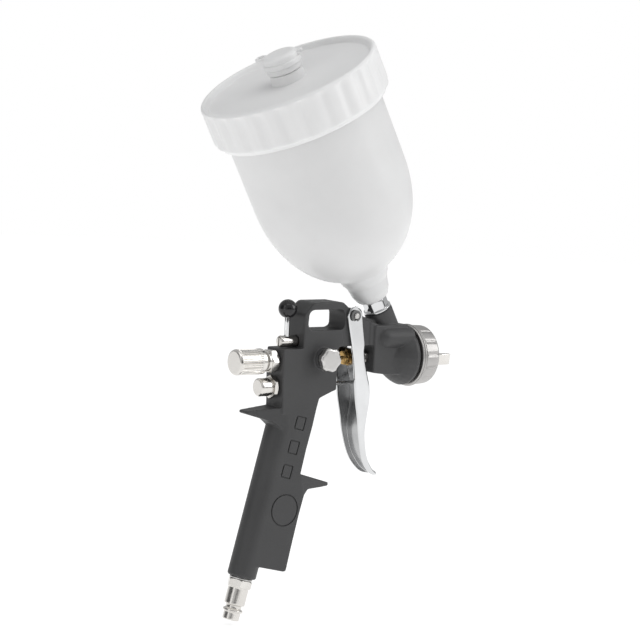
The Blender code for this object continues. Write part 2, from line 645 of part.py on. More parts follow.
# ---- air side -----------------------------------------------------------------------------
def air_valve():
    front = TRIGGER_STEM_X
    poppet = -92.6 * MM
    tail = -110.0 * MM
    profile = [(front, 0), (front, AIR_STEM_R), (poppet, AIR_STEM_R), (poppet, 3.4 * MM),
               (poppet - 1.8 * MM, 3.4 * MM), (poppet - 1.8 * MM, AIR_STEM_R),
               (tail, AIR_STEM_R), (tail, 0)]
    smooth(turned("air_valve_stem", profile, AIR_VALVE, X_AXIS, STEEL, FINE))
    washer("air_valve_seal", -90.3 * MM, poppet + GAP, 4.1 * MM, AIR_STEM_R + 0.1 * MM, RUBBER,
           AIR_VALVE)
    washer("air_valve_gland", -67.2 * MM, -74.4 * MM, AIR_GLAND_R, AIR_STEM_R + GAP, BRASS,
           AIR_VALVE)
    thread = AIR_CHAMBER_R - GAP
    bore = AIR_SPRING_R + 0.8 * MM
    face = REAR_FACE_X - GAP
    end = AIR_CAP_END
    made = lathe_blind("air_valve_cap", [
        (-103.0 * MM, thread), (face, thread), (face, 6.0 * MM), (-113.2 * MM, 6.0 * MM),
        (-113.2 * MM, 4.9 * MM), (-114.2 * MM, 4.9 * MM), (-114.2 * MM, AIR_CAP_R),
        (end + 0.8 * MM, AIR_CAP_R), (end, AIR_CAP_R - 0.8 * MM), (end, 0)],
        [(end + 1.8 * MM, 0), (end + 1.8 * MM, bore), (-103.0 * MM, bore)], AIR_VALVE, X_AXIS,
        NICKEL)
    ring = rod("air_cap_hex", along(AIR_VALVE, X_AXIS, -112.9 * MM),
               along(AIR_VALVE, X_AXIS, face - 0.6 * MM), hexagon(12.6 * MM), None, 6)
    hole = rod("air_cap_hex_bore", along(AIR_VALVE, X_AXIS, -115 * MM),
               along(AIR_VALVE, X_AXIS, -105 * MM), 4.4 * MM, None, FINE)
    add(made, [cut(ring, [hole])])
    smooth(settle(made))
    start = end + 1.8 * MM + GAP
    stop = poppet - 1.8 * MM - GAP
    helix("air_valve_spring", (start, 0, AIR_VALVE_Z), X_AXIS, stop - start, AIR_SPRING_R, 7,
          STEEL, 8)


def air_cap():
    """Baffle ring, the air cap with its two horns, and the ring that holds it on the head."""
    washer("air_baffle", -3.9 * MM, -5.6 * MM, CAP_R - 1.2 * MM, 8.4 * MM,
           BLACK_PLASTIC)
    shoulder = CAP_RING_FRONT - CAP_LIP - GAP
    profile = [(0.6 * MM, 2.1 * MM), (0.9 * MM, 5.5 * MM), (shoulder + 1.0 * MM, 8.5 * MM),
               (shoulder + 1.0 * MM, CAP_R - 2.6 * MM), (shoulder, CAP_R - 1.6 * MM),
               (shoulder, CAP_R), (-2.8 * MM, CAP_R), (-2.8 * MM, 8.2 * MM),
               (-0.8 * MM, 5.6 * MM), (-0.6 * MM, 2.1 * MM)]
    cap = turned("air_cap", profile, (0, 0, 0), X_AXIS, NICKEL, ROUND)
    turn = Matrix.Rotation(CAP_TURN, 4, "X")
    for side in (-1, 1):
        tip = HORN_LENGTH / MM + 0.6
        inner = HORN_Y / MM - 2.6
        outer = HORN_Y / MM + 1.2
        shape = [(0.6, inner - 1.6), (tip, outer - 2.4), (tip, outer - 0.2), (0.6, outer)]
        outline = [(x, side * y) for x, y in shape]
        horn_bar = plate("cap_horn", [outline], 3.4 * MM, None, 0.0, 0.0, True)
        horn_bar.matrix_world = turn @ horn_bar.matrix_world
        add(cap, [horn_bar])
        hole_start = Vector((9.0 * MM, side * 6.0 * MM, 0))
        hole_end = Vector((11.0 * MM, side * (HORN_Y - 0.4 * MM), 0))
        cut(cap, [rod("horn_hole", turn @ hole_start, turn @ hole_end, 0.7 * MM, None, 8)])
    smooth(settle(cap))
    inner = CAP_R + GAP
    lip = CAP_R - 1.6 * MM + GAP
    ring_profile = [(CAP_RING_FRONT, CAP_RING_R - 1.4 * MM),
                      (CAP_RING_FRONT - 1.2 * MM, CAP_RING_R - 0.5 * MM),
                      (CAP_RING_BACK + 3.0 * MM, CAP_RING_R),
                      (CAP_RING_BACK + 2.6 * MM, CAP_RING_R + 0.8 * MM),
                      (CAP_RING_BACK + 0.6 * MM, CAP_RING_R + 0.8 * MM),
                      (CAP_RING_BACK, CAP_RING_R + 0.2 * MM), (CAP_RING_BACK, inner),
                      (CAP_RING_FRONT - CAP_LIP, inner), (CAP_RING_FRONT - CAP_LIP, lip),
                      (CAP_RING_FRONT, lip)]
    smooth(turned("air_cap_ring", ring_profile, (0, 0, 0), X_AXIS, NICKEL, 48))


def air_inlet():
    washer("inlet_washer", 1.3 * MM, GAP, 7.0 * MM, PLUG_THREAD_R + GAP, NICKEL, PLUG_FOOT,
           PLUG_AXIS)
    hex_low = 6.2 * MM
    profile = [(26.2 * MM, PLUG_R - 1.6 * MM), (25.8 * MM, PLUG_R - 1.2 * MM),
               (21.3 * MM, PLUG_R - 1.2 * MM), (20.9 * MM, PLUG_R - 0.2 * MM),
               (19.9 * MM, PLUG_R - 0.2 * MM), (18.9 * MM, PLUG_R - 1.55 * MM),
               (17.2 * MM, PLUG_R - 1.55 * MM), (16.6 * MM, PLUG_R), (hex_low, PLUG_R),
               (1.6 * MM, PLUG_R), (1.6 * MM, PLUG_THREAD_R), (-9.5 * MM, PLUG_THREAD_R),
               (-9.5 * MM, PLUG_BORE_R), (26.2 * MM, PLUG_BORE_R)]
    made = turned("air_inlet_plug", profile, PLUG_FOOT, PLUG_AXIS, NICKEL,
                  FINE + 4)
    ring = rod("plug_hex", along(PLUG_FOOT, PLUG_AXIS, 1.6 * MM),
               along(PLUG_FOOT, PLUG_AXIS, hex_low), hexagon(PLUG_HEX), None, 6)
    hole = rod("plug_hex_bore", along(PLUG_FOOT, PLUG_AXIS, 0),
               along(PLUG_FOOT, PLUG_AXIS, 10 * MM), PLUG_R - 1 * MM, None, FINE)
    add(made, [cut(ring, [hole])])
    smooth(settle(made))


def fan_control():
    """Bush screwed into the casting's boss, the spindle through it and the six-lobed knob."""
    face = BODY_HALF + FAN_BOSS_HEIGHT + GAP
    axis = -Y_AXIS
    spindle_bore = FAN_SPINDLE_R + GAP
    smooth(turned("fan_bush", [(face + FAN_FLANGE, 4.3 * MM), (face, 4.3 * MM),
                               (face, FAN_BUSH_R), (4.6 * MM, FAN_BUSH_R),
                               (4.6 * MM, spindle_bore), (face + FAN_FLANGE, spindle_bore)],
                  FAN, axis, NICKEL, FINE))
    knob_back = face + FAN_FLANGE + GAP
    knob_face = -FAN_KNOB_FACE
    top = knob_face - 2.2 * MM
    smooth(turned("fan_spindle", [(top - GAP, 0), (top - GAP, FAN_SPINDLE_R),
                                  (3.6 * MM, FAN_SPINDLE_R), (3.0 * MM, 0.6 * MM),
                                  (3.0 * MM, 0)], FAN, axis, BRASS, BORE))
    knob = lathe_blind("fan_knob", [
        (knob_back, 4.6 * MM), (knob_back + 1.4 * MM, 4.6 * MM),
        (knob_back + 1.4 * MM, FAN_KNOB_R), (knob_face - 0.7 * MM, FAN_KNOB_R),
        (knob_face, FAN_KNOB_R - 0.7 * MM), (knob_face, 0)],
        [(top, 0), (top, spindle_bore), (knob_back, spindle_bore)], FAN, axis, NICKEL, 36)
    for k in range(6):
        angle = k * pi / 3 + pi / 6
        spot = FAN + Vector((cos(angle), 0, sin(angle))) * (FAN_KNOB_R + 8.2 * MM)
        cut(knob, [rod("lobe", spot + axis * (knob_back - 1 * MM),
                       spot + axis * (knob_face + 1 * MM), 9.0 * MM, None, ROUND)])
    smooth(settle(knob))


def air_lever():
    """Air cock: a spindle along X, an upright rod in it and a ball on the rod."""
    collar = LEVER_SPINDLE_R + 0.4 * MM
    hole = LEVER_ROD_R + GAP
    out = -95.4 * MM
    end = -107.3 * MM
    spindle = turned("lever_spindle", [(-73.4 * MM, 0), (-73.4 * MM, LEVER_SPINDLE_R),
                                       (out, LEVER_SPINDLE_R), (out, collar),
                                       (end + 0.6 * MM, collar), (end, collar - 0.6 * MM),
                                       (end, 0)], LEVER, X_AXIS, NICKEL, FINE)
    seat = Vector((LEVER_X, 0, LEVER_Z + 0.4 * MM))
    cut(spindle, [
        rod("rod_socket", seat, seat + Z_AXIS * 10 * MM, hole),
        rod("air_cross_hole", (FAN.x, -10 * MM, LEVER_Z), (FAN.x, 10 * MM, LEVER_Z), 1.6 * MM),
        block("driver_slot", (end - 1 * MM, -0.5 * MM, LEVER_Z - 10 * MM),
              (end + 1.6 * MM, 0.5 * MM, LEVER_Z + 10 * MM))])
    smooth(settle(spindle))
    top = LEVER_BALL_Z - 1.0 * MM
    rod_start = seat + Z_AXIS * GAP
    smooth(rod("lever_rod", rod_start, (LEVER_X, 0, top - GAP), LEVER_ROD_R, CHROME, FINE))
    mesh = bpy.data.meshes.new("lever_ball")
    shape = bmesh.new()
    bmesh.ops.create_uvsphere(shape, u_segments=24, v_segments=14, radius=LEVER_BALL_R)
    shape.to_mesh(mesh)
    shape.free()
    ball = add_object("lever_ball", mesh, BLACK_PLASTIC)
    ball.location = (LEVER_X, 0, LEVER_BALL_Z)
    socket = rod("ball_socket", (LEVER_X, 0, LEVER_BALL_Z - 10 * MM), (LEVER_X, 0, top), hole)
    smooth(settle(cut(ball, [socket])))


# ---- trigger ------------------------------------------------------------------------------
# front edge, rear edge and half width of the bent channel from the arms down to the tip, in mm
TRIGGER_STATIONS = [
    ((-53.0, 26.0), (-63.4, 26.0), 1.0), ((-52.1, 20.0), (-62.2, 20.0), 1.0),
    ((-50.3, 10.0), (-59.8, 10.0), 1.0), ((-48.9, 0.0), (-57.6, 0.0), 1.0),
    ((-46.2, -10.0), (-56.2, -10.0), 1.0), ((-43.9, -18.0), (-55.2, -18.0), 1.0),
    ((-43.6, -26.0), (-54.1, -26.0), 1.0), ((-44.8, -36.0), (-51.9, -36.0), 0.98),
    ((-45.5, -46.0), (-50.1, -46.3), 0.95), ((-43.6, -56.0), (-47.4, -56.8), 0.86),
    ((-40.9, -62.8), (-44.2, -64.6), 0.75), ((-36.8, -68.6), (-39.1, -70.8), 0.64),
    ((-34.0, -71.0), (-35.3, -73.2), 0.54), ((-31.4, -72.2), (-31.0, -73.9), 0.42)]


def channel_section(front, rear, half):
    """Points of a U-shaped sheet section: outer side, then inner side, between two edges."""
    front = Vector((front[0], 0, front[1])) * MM
    rear = Vector((rear[0], 0, rear[1])) * MM
    depth = (rear - front).length
    inward = (rear - front).normalized()
    bend = min(2.2 * MM, depth * 0.8)
    loops = []
    for thickness in (0.0, SHEET):
        width = half - thickness
        start = min(thickness, depth * 0.6)
        radius = max(bend - thickness, 0.1 * MM)
        side = [(depth, -width)]
        for k in range(4):
            a = k * pi / 6
            side.append((start + radius * (1 - sin(a)), -(width - radius * (1 - cos(a)))))
        side += [(d, -w) for d, w in reversed(side)]
        loops.append([front + inward * d + Y_AXIS * w for d, w in side])
    return loops[0] + list(reversed(loops[1]))


def trigger():
    stations = list(TRIGGER_STATIONS)
    eye = TRIGGER_EYE_R / MM
    pivot_x, pivot_z = TRIGGER_PIVOT
    for k in range(1, 6):
        a = k * pi / 11
        reach = eye * cos(a)
        z = pivot_z + eye * sin(a)
        stations.insert(0, ((pivot_x + reach, z), (pivot_x - reach, z), 1.0))
    sections = [channel_section(f, r, TRIGGER_HALF * w) for f, r, w in stations]
    mesh = bpy.data.meshes.new("trigger")
    shape = bmesh.new()
    rings = [[shape.verts.new(p - PIVOT) for p in section] for section in sections]
    for above, below in zip(rings, rings[1:]):
        for i in range(len(above)):
            j = (i + 1) % len(above)
            shape.faces.new((above[i], above[j], below[j], below[i]))
    shape.faces.new(list(reversed(rings[0])))
    shape.faces.new(rings[-1])
    bmesh.ops.recalc_face_normals(shape, faces=shape.faces)
    shape.to_mesh(mesh)
    shape.free()
    made = add_object("trigger", mesh, CHROME)
    made.location = PIVOT
    inside = TRIGGER_HALF - SHEET - 0.05 * MM
    cut(made, [
        block("arm_gap", (-75 * MM, -inside, WEB_TOP * MM), (-30 * MM, inside, 60 * MM)),
        rod("needle_hole", (-60 * MM, 0, 0), (-40 * MM, 0, 0), NEEDLE_R + 1.6 * MM),
        rod("eye_hole", PIVOT - Y_AXIS * 20 * MM, PIVOT + Y_AXIS * 20 * MM,
            PIVOT_PIN_R + GAP)])
    smooth(settle(made), 30)
    head = TRIGGER_HALF + GAP
    pin = [(head + 1.6 * MM, 0), (head + 1.6 * MM, 2.6 * MM), (head + 1.0 * MM, 3.2 * MM),
           (head, 3.2 * MM), (head, PIVOT_PIN_R), (-head - 0.2 * MM, PIVOT_PIN_R),
           (-head - 0.2 * MM, 1.2 * MM), (-head - 1.2 * MM, 1.2 * MM),
           (-head - 1.2 * MM, PIVOT_PIN_R), (-head - 2.2 * MM, PIVOT_PIN_R),
           (-head - 2.2 * MM, 0)]
    smooth(turned("trigger_pin", pin, PIVOT, Y_AXIS, STEEL, FINE))
    clip = turned("trigger_clip", [(-head - 0.3 * MM, 3.9 * MM), (-head - 1.1 * MM, 3.9 * MM),
                                   (-head - 1.1 * MM, 1.3 * MM), (-head - 0.3 * MM, 1.3 * MM)],
                  PIVOT, Y_AXIS, BLACK_PLASTIC, FINE)
    mouth = block("clip_mouth", PIVOT + Vector((-1.1, -20, -6)) * MM,
                  PIVOT + Vector((1.1, 0, 0)) * MM)
    smooth(settle(cut(clip, [mouth])))


# ---- cup and lid --------------------------------------------------------------------------
def cup_outer():
    """Outer profile of the cup, bottom to top: a neck, its flare and a deep rounded bowl."""
    neck = [(0.0, 8.6), (2.5, 10.6), (5.5, 12.0), (12.5, 13.2), (15.5, 15.0), (19.5, 16.2)]
    points = [(CUP_BOTTOM + s * MM, r * MM) for s, r in neck]
    depth = CUP_BOWL_TOP - CUP_BOWL_BOTTOM
    start = 23.0 * MM
    for k in range(9):
        s = CUP_BOTTOM + start + (CUP_BOWL_TOP - CUP_BOTTOM - start) * (k / 8) ** 1.5
        fall = (CUP_BOWL_TOP - s) / depth
        points.append((s, CUP_R * sqrt(1 - fall ** 2.15)))
    return points


def cup():
    outer = cup_outer()
    collar = CUP_R + 1.9 * MM
    rim = [(CUP_TOP - 16 * MM, CUP_R), (CUP_TOP - 14.5 * MM, collar), (CUP_TOP, collar)]
    inner = [(s + CUP_WALL, r - CUP_WALL) for s, r in outer[5:]]
    throat = ADAPTER_THREAD_R + GAP
    profile = list(reversed(outer + rim))
    profile += [(CUP_BOTTOM, throat), (CUP_NECK_TOP - 2.2 * MM, throat),
                (CUP_NECK_TOP + 1.6 * MM, 12.0 * MM)]
    profile += inner + [(CUP_TOP, CUP_R - CUP_WALL)]
    smooth(turned("cup", profile, CUP_FOOT, CUP_AXIS, CUP_PLASTIC, 40), 40)


def cup_adapter():
    """Threaded metal insert that joins the cup's neck to the gun's neck boss."""
    low = NECK_TOP + GAP
    high = CUP_BOTTOM - GAP
    bore = 3.4 * MM
    profile = [(CUP_NECK_TOP - 3.5 * MM, ADAPTER_THREAD_R), (high, ADAPTER_THREAD_R),
               (high, 7.9 * MM), (low + 1.2 * MM, 7.9 * MM), (low + 1.0 * MM, 8.7 * MM),
               (low, 8.7 * MM), (low, ADAPTER_THREAD_R), (ADAPTER_LOW, ADAPTER_THREAD_R),
               (ADAPTER_LOW, bore), (CUP_NECK_TOP - 3.5 * MM, bore)]
    made = turned("cup_adapter", profile, CUP_FOOT, CUP_AXIS, CHROME, FINE + 4)
    turn = Matrix.Rotation(pi / 6, 4, "Z")
    for k in range(6):
        angle = k * pi / 3 + pi / 6
        flat = block("flat_" + str(k), (7.35 * MM, -8 * MM, low + 1.8 * MM),
                     (12 * MM, 8 * MM, high + 0.2 * MM))
        flat.matrix_world = (Matrix.Translation(CUP_FOOT)
                             @ Z_AXIS.rotation_difference(CUP_AXIS).to_matrix().to_4x4()
                             @ turn @ Matrix.Rotation(angle, 4, "Z"))
        cut(made, [flat])
    smooth(settle(made))


def lid():
    """Screw lid with a raised rim, a sunk top and the boss of its vent."""
    rim = CUP_TOP + 6.3 * MM
    floor = CUP_TOP + GAP + LID_WALL
    low = rim - LID_SKIRT
    inside = CUP_R + 1.9 * MM + 2 * GAP
    boss = VENT_R - 1.2 * MM
    profile = [(floor + 6 * MM, 1.0 * MM), (floor + 6 * MM, boss), (floor, boss),
               (floor, LID_R - 3.4 * MM), (rim, LID_R - 3.0 * MM), (rim, LID_R - 0.8 * MM),
               (rim - 0.8 * MM, LID_R), (low + 3.2 * MM, LID_R), (low + 2.2 * MM, LID_R - 2.2 * MM),
               (low, LID_R - 2.8 * MM), (low, inside), (CUP_TOP + GAP, inside),
               (CUP_TOP + GAP, 1.0 * MM)]
    smooth(turned("lid", profile, CUP_FOOT, CUP_AXIS, LID_PLASTIC, 48), 40)
    low = floor + 6 * MM + GAP
    cap = turned("vent_cap", [(low + 11 * MM, 0), (low + 11 * MM, VENT_R - 2.6 * MM),
                              (low + 9.8 * MM, VENT_R - 1.0 * MM),
                              (low + 7 * MM, VENT_R - 1.0 * MM), (low + 6.6 * MM, VENT_R),
                              (low + 3.6 * MM, VENT_R), (low + 3.2 * MM, VENT_R - 0.9 * MM),
                              (low + 0.8 * MM, VENT_R - 0.9 * MM), (low, VENT_R - 1.6 * MM),
                              (low, 0)], CUP_FOOT, CUP_AXIS, LID_PLASTIC, FINE)
    centre = along(CUP_FOOT, CUP_AXIS, low + VENT_EYE_S)
    lift = Z_AXIS.rotation_difference(CUP_AXIS).to_matrix().to_4x4()
    eye = turned("vent_eye", [(0.9 * MM, 3.8 * MM), (-0.9 * MM, 3.8 * MM),
                              (-0.9 * MM, 2.2 * MM), (0.9 * MM, 2.2 * MM)],
                 (0, 0, 0), Z_AXIS, None, BORE)
    eye.rotation_mode = "XYZ"
    eye.matrix_world = (Matrix.Translation(centre) @ lift
                        @ Matrix.Translation((VENT_EYE_X, VENT_EYE_Y, 0)))
    tab = block("vent_tab", (VENT_R - 3 * MM, -1.6 * MM, -0.8 * MM),
                (VENT_R + 2 * MM, 1.6 * MM, 0.8 * MM))
    tab.matrix_world = (Matrix.Translation(centre) @ lift @ Matrix.Rotation(-pi / 4, 4, "Z"))
    add(cap, [eye, tab])
    smooth(settle(cap))


gun_body()
fluid_nozzle()
needle()
needle_seals()
needle_nuts()
fluid_control()
air_valve()
air_cap()
air_inlet()
fan_control()
air_lever()
trigger()
cup()
cup_adapter()
lid()
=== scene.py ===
"""Looks of the gravity-cup spray gun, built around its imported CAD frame."""
from math import cos, pi, radians, sin, sqrt

import bmesh
import bpy
import numpy as np
from mathutils import Matrix, Vector


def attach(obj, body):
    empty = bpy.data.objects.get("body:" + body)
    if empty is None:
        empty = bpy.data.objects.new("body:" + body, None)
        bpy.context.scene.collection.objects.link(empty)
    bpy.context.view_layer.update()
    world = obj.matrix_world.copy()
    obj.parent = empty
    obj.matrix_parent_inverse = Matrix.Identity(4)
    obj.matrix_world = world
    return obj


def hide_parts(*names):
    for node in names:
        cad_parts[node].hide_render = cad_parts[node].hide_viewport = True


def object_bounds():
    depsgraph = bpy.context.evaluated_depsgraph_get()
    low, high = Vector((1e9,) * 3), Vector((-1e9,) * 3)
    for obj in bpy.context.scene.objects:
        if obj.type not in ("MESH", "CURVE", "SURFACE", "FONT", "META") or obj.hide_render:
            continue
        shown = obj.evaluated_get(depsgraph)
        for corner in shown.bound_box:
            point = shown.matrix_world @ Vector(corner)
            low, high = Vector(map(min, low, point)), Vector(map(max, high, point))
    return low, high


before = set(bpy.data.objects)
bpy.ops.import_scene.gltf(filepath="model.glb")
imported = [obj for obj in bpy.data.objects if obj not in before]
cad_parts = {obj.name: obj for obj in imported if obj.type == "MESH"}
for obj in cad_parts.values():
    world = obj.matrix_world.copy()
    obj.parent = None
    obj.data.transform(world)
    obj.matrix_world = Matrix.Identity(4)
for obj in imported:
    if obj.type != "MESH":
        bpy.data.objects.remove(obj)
CAD_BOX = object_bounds()

MM = 0.001                          # profiles and bare lengths are in mm, places in m
X_AXIS = Vector((1, 0, 0))
Y_AXIS = Vector((0, 1, 0))
Z_AXIS = Vector((0, 0, 1))
CUP_TILT = radians(28.79)
CUP_AXIS = Vector((-sin(CUP_TILT), 0, cos(CUP_TILT)))
CUP_FOOT = Vector((-17.18, 0, 0)) * MM
HANDLE_TILT = radians(14.6)
PLUG_AXIS = Vector((-sin(HANDLE_TILT), 0, -cos(HANDLE_TILT)))
PLUG_FOOT = Vector((-126.8, 0, -129.7)) * MM
PIVOT = Vector((-58.2, 0, 26.9)) * MM
AIR_VALVE = Vector((0, 0, -15.6)) * MM
FAN = Vector((-80.2, 0, 1.4)) * MM
LEVER = Vector((0, 0, 11.5)) * MM
LEVER_X = -101.7
NEEDLE_FOOT = Vector((0, 0, 0))


# ---- shader helpers -------------------------------------------------------------------------
class Nodes:
    """A short way to write node trees: each call adds one node and returns an output."""

    def __init__(self, name):
        self.made = bpy.data.materials.new(name)
        self.made.use_nodes = True
        self.tree = self.made.node_tree
        self.shader = self.tree.nodes["Principled BSDF"]

    def node(self, kind, inputs=(), **settings):
        made = self.tree.nodes.new(kind)
        for key, value in settings.items():
            setattr(made, key, value)
        for key, value in dict(inputs).items():
            self.feed(made.inputs[key], value)
        return made

    def feed(self, socket, value):
        if isinstance(value, bpy.types.NodeSocket):
            self.tree.links.new(value, socket)
        else:
            socket.default_value = value

    def place(self):
        return self.node("ShaderNodeTexCoord").outputs["Object"]

    def noise(self, where, scale, detail=3.0, rough=0.55):
        return self.node("ShaderNodeTexNoise", {"Vector": where, "Scale": scale,
                                                "Detail": detail,
                                                "Roughness": rough}).outputs["Fac"]

    def math(self, operation, a, b=0.0):
        return self.node("ShaderNodeMath", {0: a, 1: b}, operation=operation).outputs[0]

    def span(self, value, low, high, to_low, to_high):
        return self.node("ShaderNodeMapRange", {"Value": value, "From Min": low,
                                                "From Max": high, "To Min": to_low,
                                                "To Max": to_high}).outputs["Result"]

    def mix(self, factor, a, b):
        made = self.node("ShaderNodeMix", data_type="RGBA")
        self.feed(made.inputs["Factor"], factor)
        self.feed(made.inputs["A"], (*a, 1.0) if isinstance(a, tuple) else a)
        self.feed(made.inputs["B"], (*b, 1.0) if isinstance(b, tuple) else b)
        return made.outputs["Result"]

    def bump(self, height, strength, distance, below=None):
        made = self.node("ShaderNodeBump", {"Height": height, "Strength": strength,
                                            "Distance": distance})
        if below is not None:
            self.feed(made.inputs["Normal"], below)
        return made.outputs["Normal"]

    def lathe_place(self, where):
        """Coordinates that only change along a lathe piece and across its end faces."""
        split = self.node("ShaderNodeSeparateXYZ", {0: where})
        flat = self.node("ShaderNodeCombineXYZ", {0: split.outputs[0], 1: split.outputs[1]})
        radius = self.node("ShaderNodeVectorMath", {0: flat.outputs[0]}, operation="LENGTH")
        return self.node("ShaderNodeCombineXYZ", {0: radius.outputs["Value"],
                                                  1: split.outputs[2]}).outputs[0]

    def done(self, **inputs):
        for key, value in inputs.items():
            self.feed(self.shader.inputs[key.replace("_", " ")], value)
        return self.made


def metal(name, dark, light, rough, marks=0.0, grain=0.06, stain=0.0):
    """Plated or bare metal: cloudy tint, uneven gloss, fine grain and turning marks."""
    n = Nodes(name)
    where = n.place()
    cloud = n.noise(where, 90.0, 4.0)
    fine = n.noise(where, 1400.0, 3.0)
    colour = n.mix(n.span(cloud, 0.3, 0.7, 0.0, 1.0), dark, light)
    if stain:
        spots = n.noise(where, 260.0, 5.0, 0.7)
        colour = n.mix(n.span(spots, 0.6, 0.78, 0.0, stain), colour, tuple(c * 0.45 for c in dark))
    gloss = n.math("ADD", n.span(cloud, 0.25, 0.75, rough * 0.8, rough * 1.25),
                   n.span(fine, 0.3, 0.7, -0.02, 0.03))
    normal = n.bump(fine, grain, 0.00002)
    if marks:
        rings = n.noise(n.lathe_place(where), 4200.0, 2.0)
        normal = n.bump(rings, marks, 0.00002, normal)
    return n.done(Base_Color=colour, Roughness=gloss, Metallic=1.0, Normal=normal)


def powder_coat():
    """Satin charcoal powder coat over a casting: orange peel and specks."""
    n = Nodes("powder_coat")
    where = n.place()
    cloud = n.noise(where, 45.0, 4.0)
    peel = n.noise(where, 1100.0, 2.0)
    speck = n.noise(where, 3600.0, 2.0, 0.7)
    colour = n.mix(n.span(cloud, 0.3, 0.7, 0.0, 1.0), (0.042, 0.042, 0.043),
                   (0.052, 0.052, 0.053))
    colour = n.mix(n.span(speck, 0.60, 0.75, 0.0, 0.5), colour, (0.085, 0.086, 0.09))
    gloss = n.math("ADD", n.span(cloud, 0.3, 0.7, 0.47, 0.56), n.span(peel, 0.3, 0.7, -0.03, 0.04))
    normal = n.bump(peel, 0.35, 0.00006)
    normal = n.bump(speck, 0.25, 0.00003, normal)
    return n.done(Base_Color=colour, Roughness=gloss, Normal=normal, Specular_IOR_Level=0.45)


def milky(name, low, high, rough, depth):
    """Translucent moulded polypropylene: cloudy body, soft gloss, faint flow lines."""
    n = Nodes(name)
    where = n.place()
    cloud = n.noise(where, 28.0, 4.0)
    fine = n.noise(where, 900.0, 3.0)
    flow = n.noise(n.lathe_place(where), 160.0, 3.0)
    colour = n.mix(n.span(cloud, 0.3, 0.7, 0.0, 1.0), low, high)
    gloss = n.math("ADD", n.span(cloud, 0.3, 0.7, rough - 0.04, rough + 0.05),
                   n.span(fine, 0.3, 0.7, -0.03, 0.03))
    normal = n.bump(flow, 0.10, 0.00025, n.bump(fine, 0.10, 0.00003))
    made = n.done(Base_Color=colour, Roughness=gloss, Normal=normal, IOR=1.49)
    n.feed(n.shader.inputs["Subsurface Weight"], 0.35)
    n.feed(n.shader.inputs["Subsurface Radius"], (1.0, 1.0, 1.0))
    n.feed(n.shader.inputs["Subsurface Scale"], depth)
    return made


def moulded(name, colour, rough):
    """Dense moulded plastic or rubber with fine grain and light scuffs."""
    n = Nodes(name)
    where = n.place()
    cloud = n.noise(where, 120.0, 4.0)
    scuff = n.noise(where, 700.0, 5.0, 0.7)
    tint = n.mix(n.span(cloud, 0.3, 0.7, 0.0, 1.0), colour, tuple(c * 1.35 for c in colour))
    gloss = n.math("ADD", n.span(cloud, 0.3, 0.7, rough * 0.85, rough * 1.3),
                   n.span(scuff, 0.62, 0.8, 0.0, 0.2))
    return n.done(Base_Color=tint, Roughness=gloss, Normal=n.bump(scuff, 0.06, 0.00003))


PAINT = powder_coat()
NICKEL = metal("bright_nickel", (0.66, 0.64, 0.61), (0.74, 0.72, 0.69), 0.20, 0.12)
SATIN = metal("satin_nickel", (0.58, 0.57, 0.56), (0.65, 0.64, 0.625), 0.36, 0.16)
CHROME = metal("polished_chrome", (0.63, 0.635, 0.64), (0.68, 0.685, 0.69), 0.07, 0.0, 0.03)
# painted shade: a darker, rougher copy of the polished chrome for the trigger channel's inner
# faces
CHROME_PAINTED_SHADE = metal("chrome_painted_shade", (0.40, 0.403, 0.406), (0.54, 0.543, 0.546), 0.20, 0.0, 0.2)
STEEL = metal("ground_steel", (0.52, 0.52, 0.52), (0.60, 0.60, 0.60), 0.24, 0.20)
RING = metal("brushed_ring", (0.43, 0.42, 0.41), (0.50, 0.49, 0.48), 0.42, 0.20)
BRASS = metal("turned_brass", (0.46, 0.28, 0.10), (0.58, 0.38, 0.14), 0.26, 0.20, 0.06, 0.5)
CUP_SKIN = milky("milky_cup", (0.72, 0.72, 0.72), (0.76, 0.76, 0.76), 0.36, 0.0035)
LID_SKIN = milky("milky_lid", (0.79, 0.79, 0.79), (0.83, 0.83, 0.83), 0.38, 0.003)
BALL = moulded("ball_black", (0.010, 0.010, 0.011), 0.14)
CLIP = moulded("clip_black", (0.10, 0.10, 0.10), 0.36)
RUBBER = moulded("seal_rubber", (0.018, 0.018, 0.018), 0.6)
PTFE = moulded("packing_white", (0.55, 0.55, 0.53), 0.5)


# ---- mesh helpers ---------------------------------------------------------------------------
NEARLY_STRAIGHT = radians(172)      # corners flatter than this stay as they are
EASE_SHARE = 0.45                   # most of a profile's side that an arc may take
ON_AXIS = 1e-6


def eased(profile, radius, steps=3):
    """A profile's corners, in mm, softened by small arcs; the ends on the axis stay put."""
    closed = profile[0][1] > 0
    count = len(profile)
    points = []
    for i, point in enumerate(profile):
        here = Vector(point)
        if not closed and i in (0, count - 1):
            points.append(here)
            continue
        before = Vector(profile[i - 1]) - here
        after = Vector(profile[(i + 1) % count]) - here
        reach = min(radius, before.length * EASE_SHARE, after.length * EASE_SHARE)
        start = here + before.normalized() * reach
        end = here + after.normalized() * reach
        if before.angle(after) > NEARLY_STRAIGHT:
            points.append(here)
            continue
        for k in range(steps + 1):
            t = k / steps
            points.append((1 - t) ** 2 * start + 2 * t * (1 - t) * here + t ** 2 * end)
    return points


def split_long(points, longest, closed):
    """Adds points along a profile so that no step is longer than a given length."""
    made = []
    pairs = list(zip(points, points[1:] + points[:1]))
    for a, b in pairs if closed else pairs[:-1]:
        count = max(1, int((b - a).length / longest + 0.999))
        made += [a.lerp(b, k / count) for k in range(count)]
    if not closed:
        made.append(points[-1])
    return made


def mesh_object(name, verts, faces):
    mesh = bpy.data.meshes.new(name)
    mesh.from_pydata([tuple(v) for v in verts], [], faces)
    shape = bmesh.new()
    shape.from_mesh(mesh)
    bmesh.ops.recalc_face_normals(shape, faces=shape.faces)
    shape.to_mesh(mesh)
    shape.free()
    made = bpy.data.objects.new(name, mesh)
    bpy.context.scene.collection.objects.link(made)
    return made


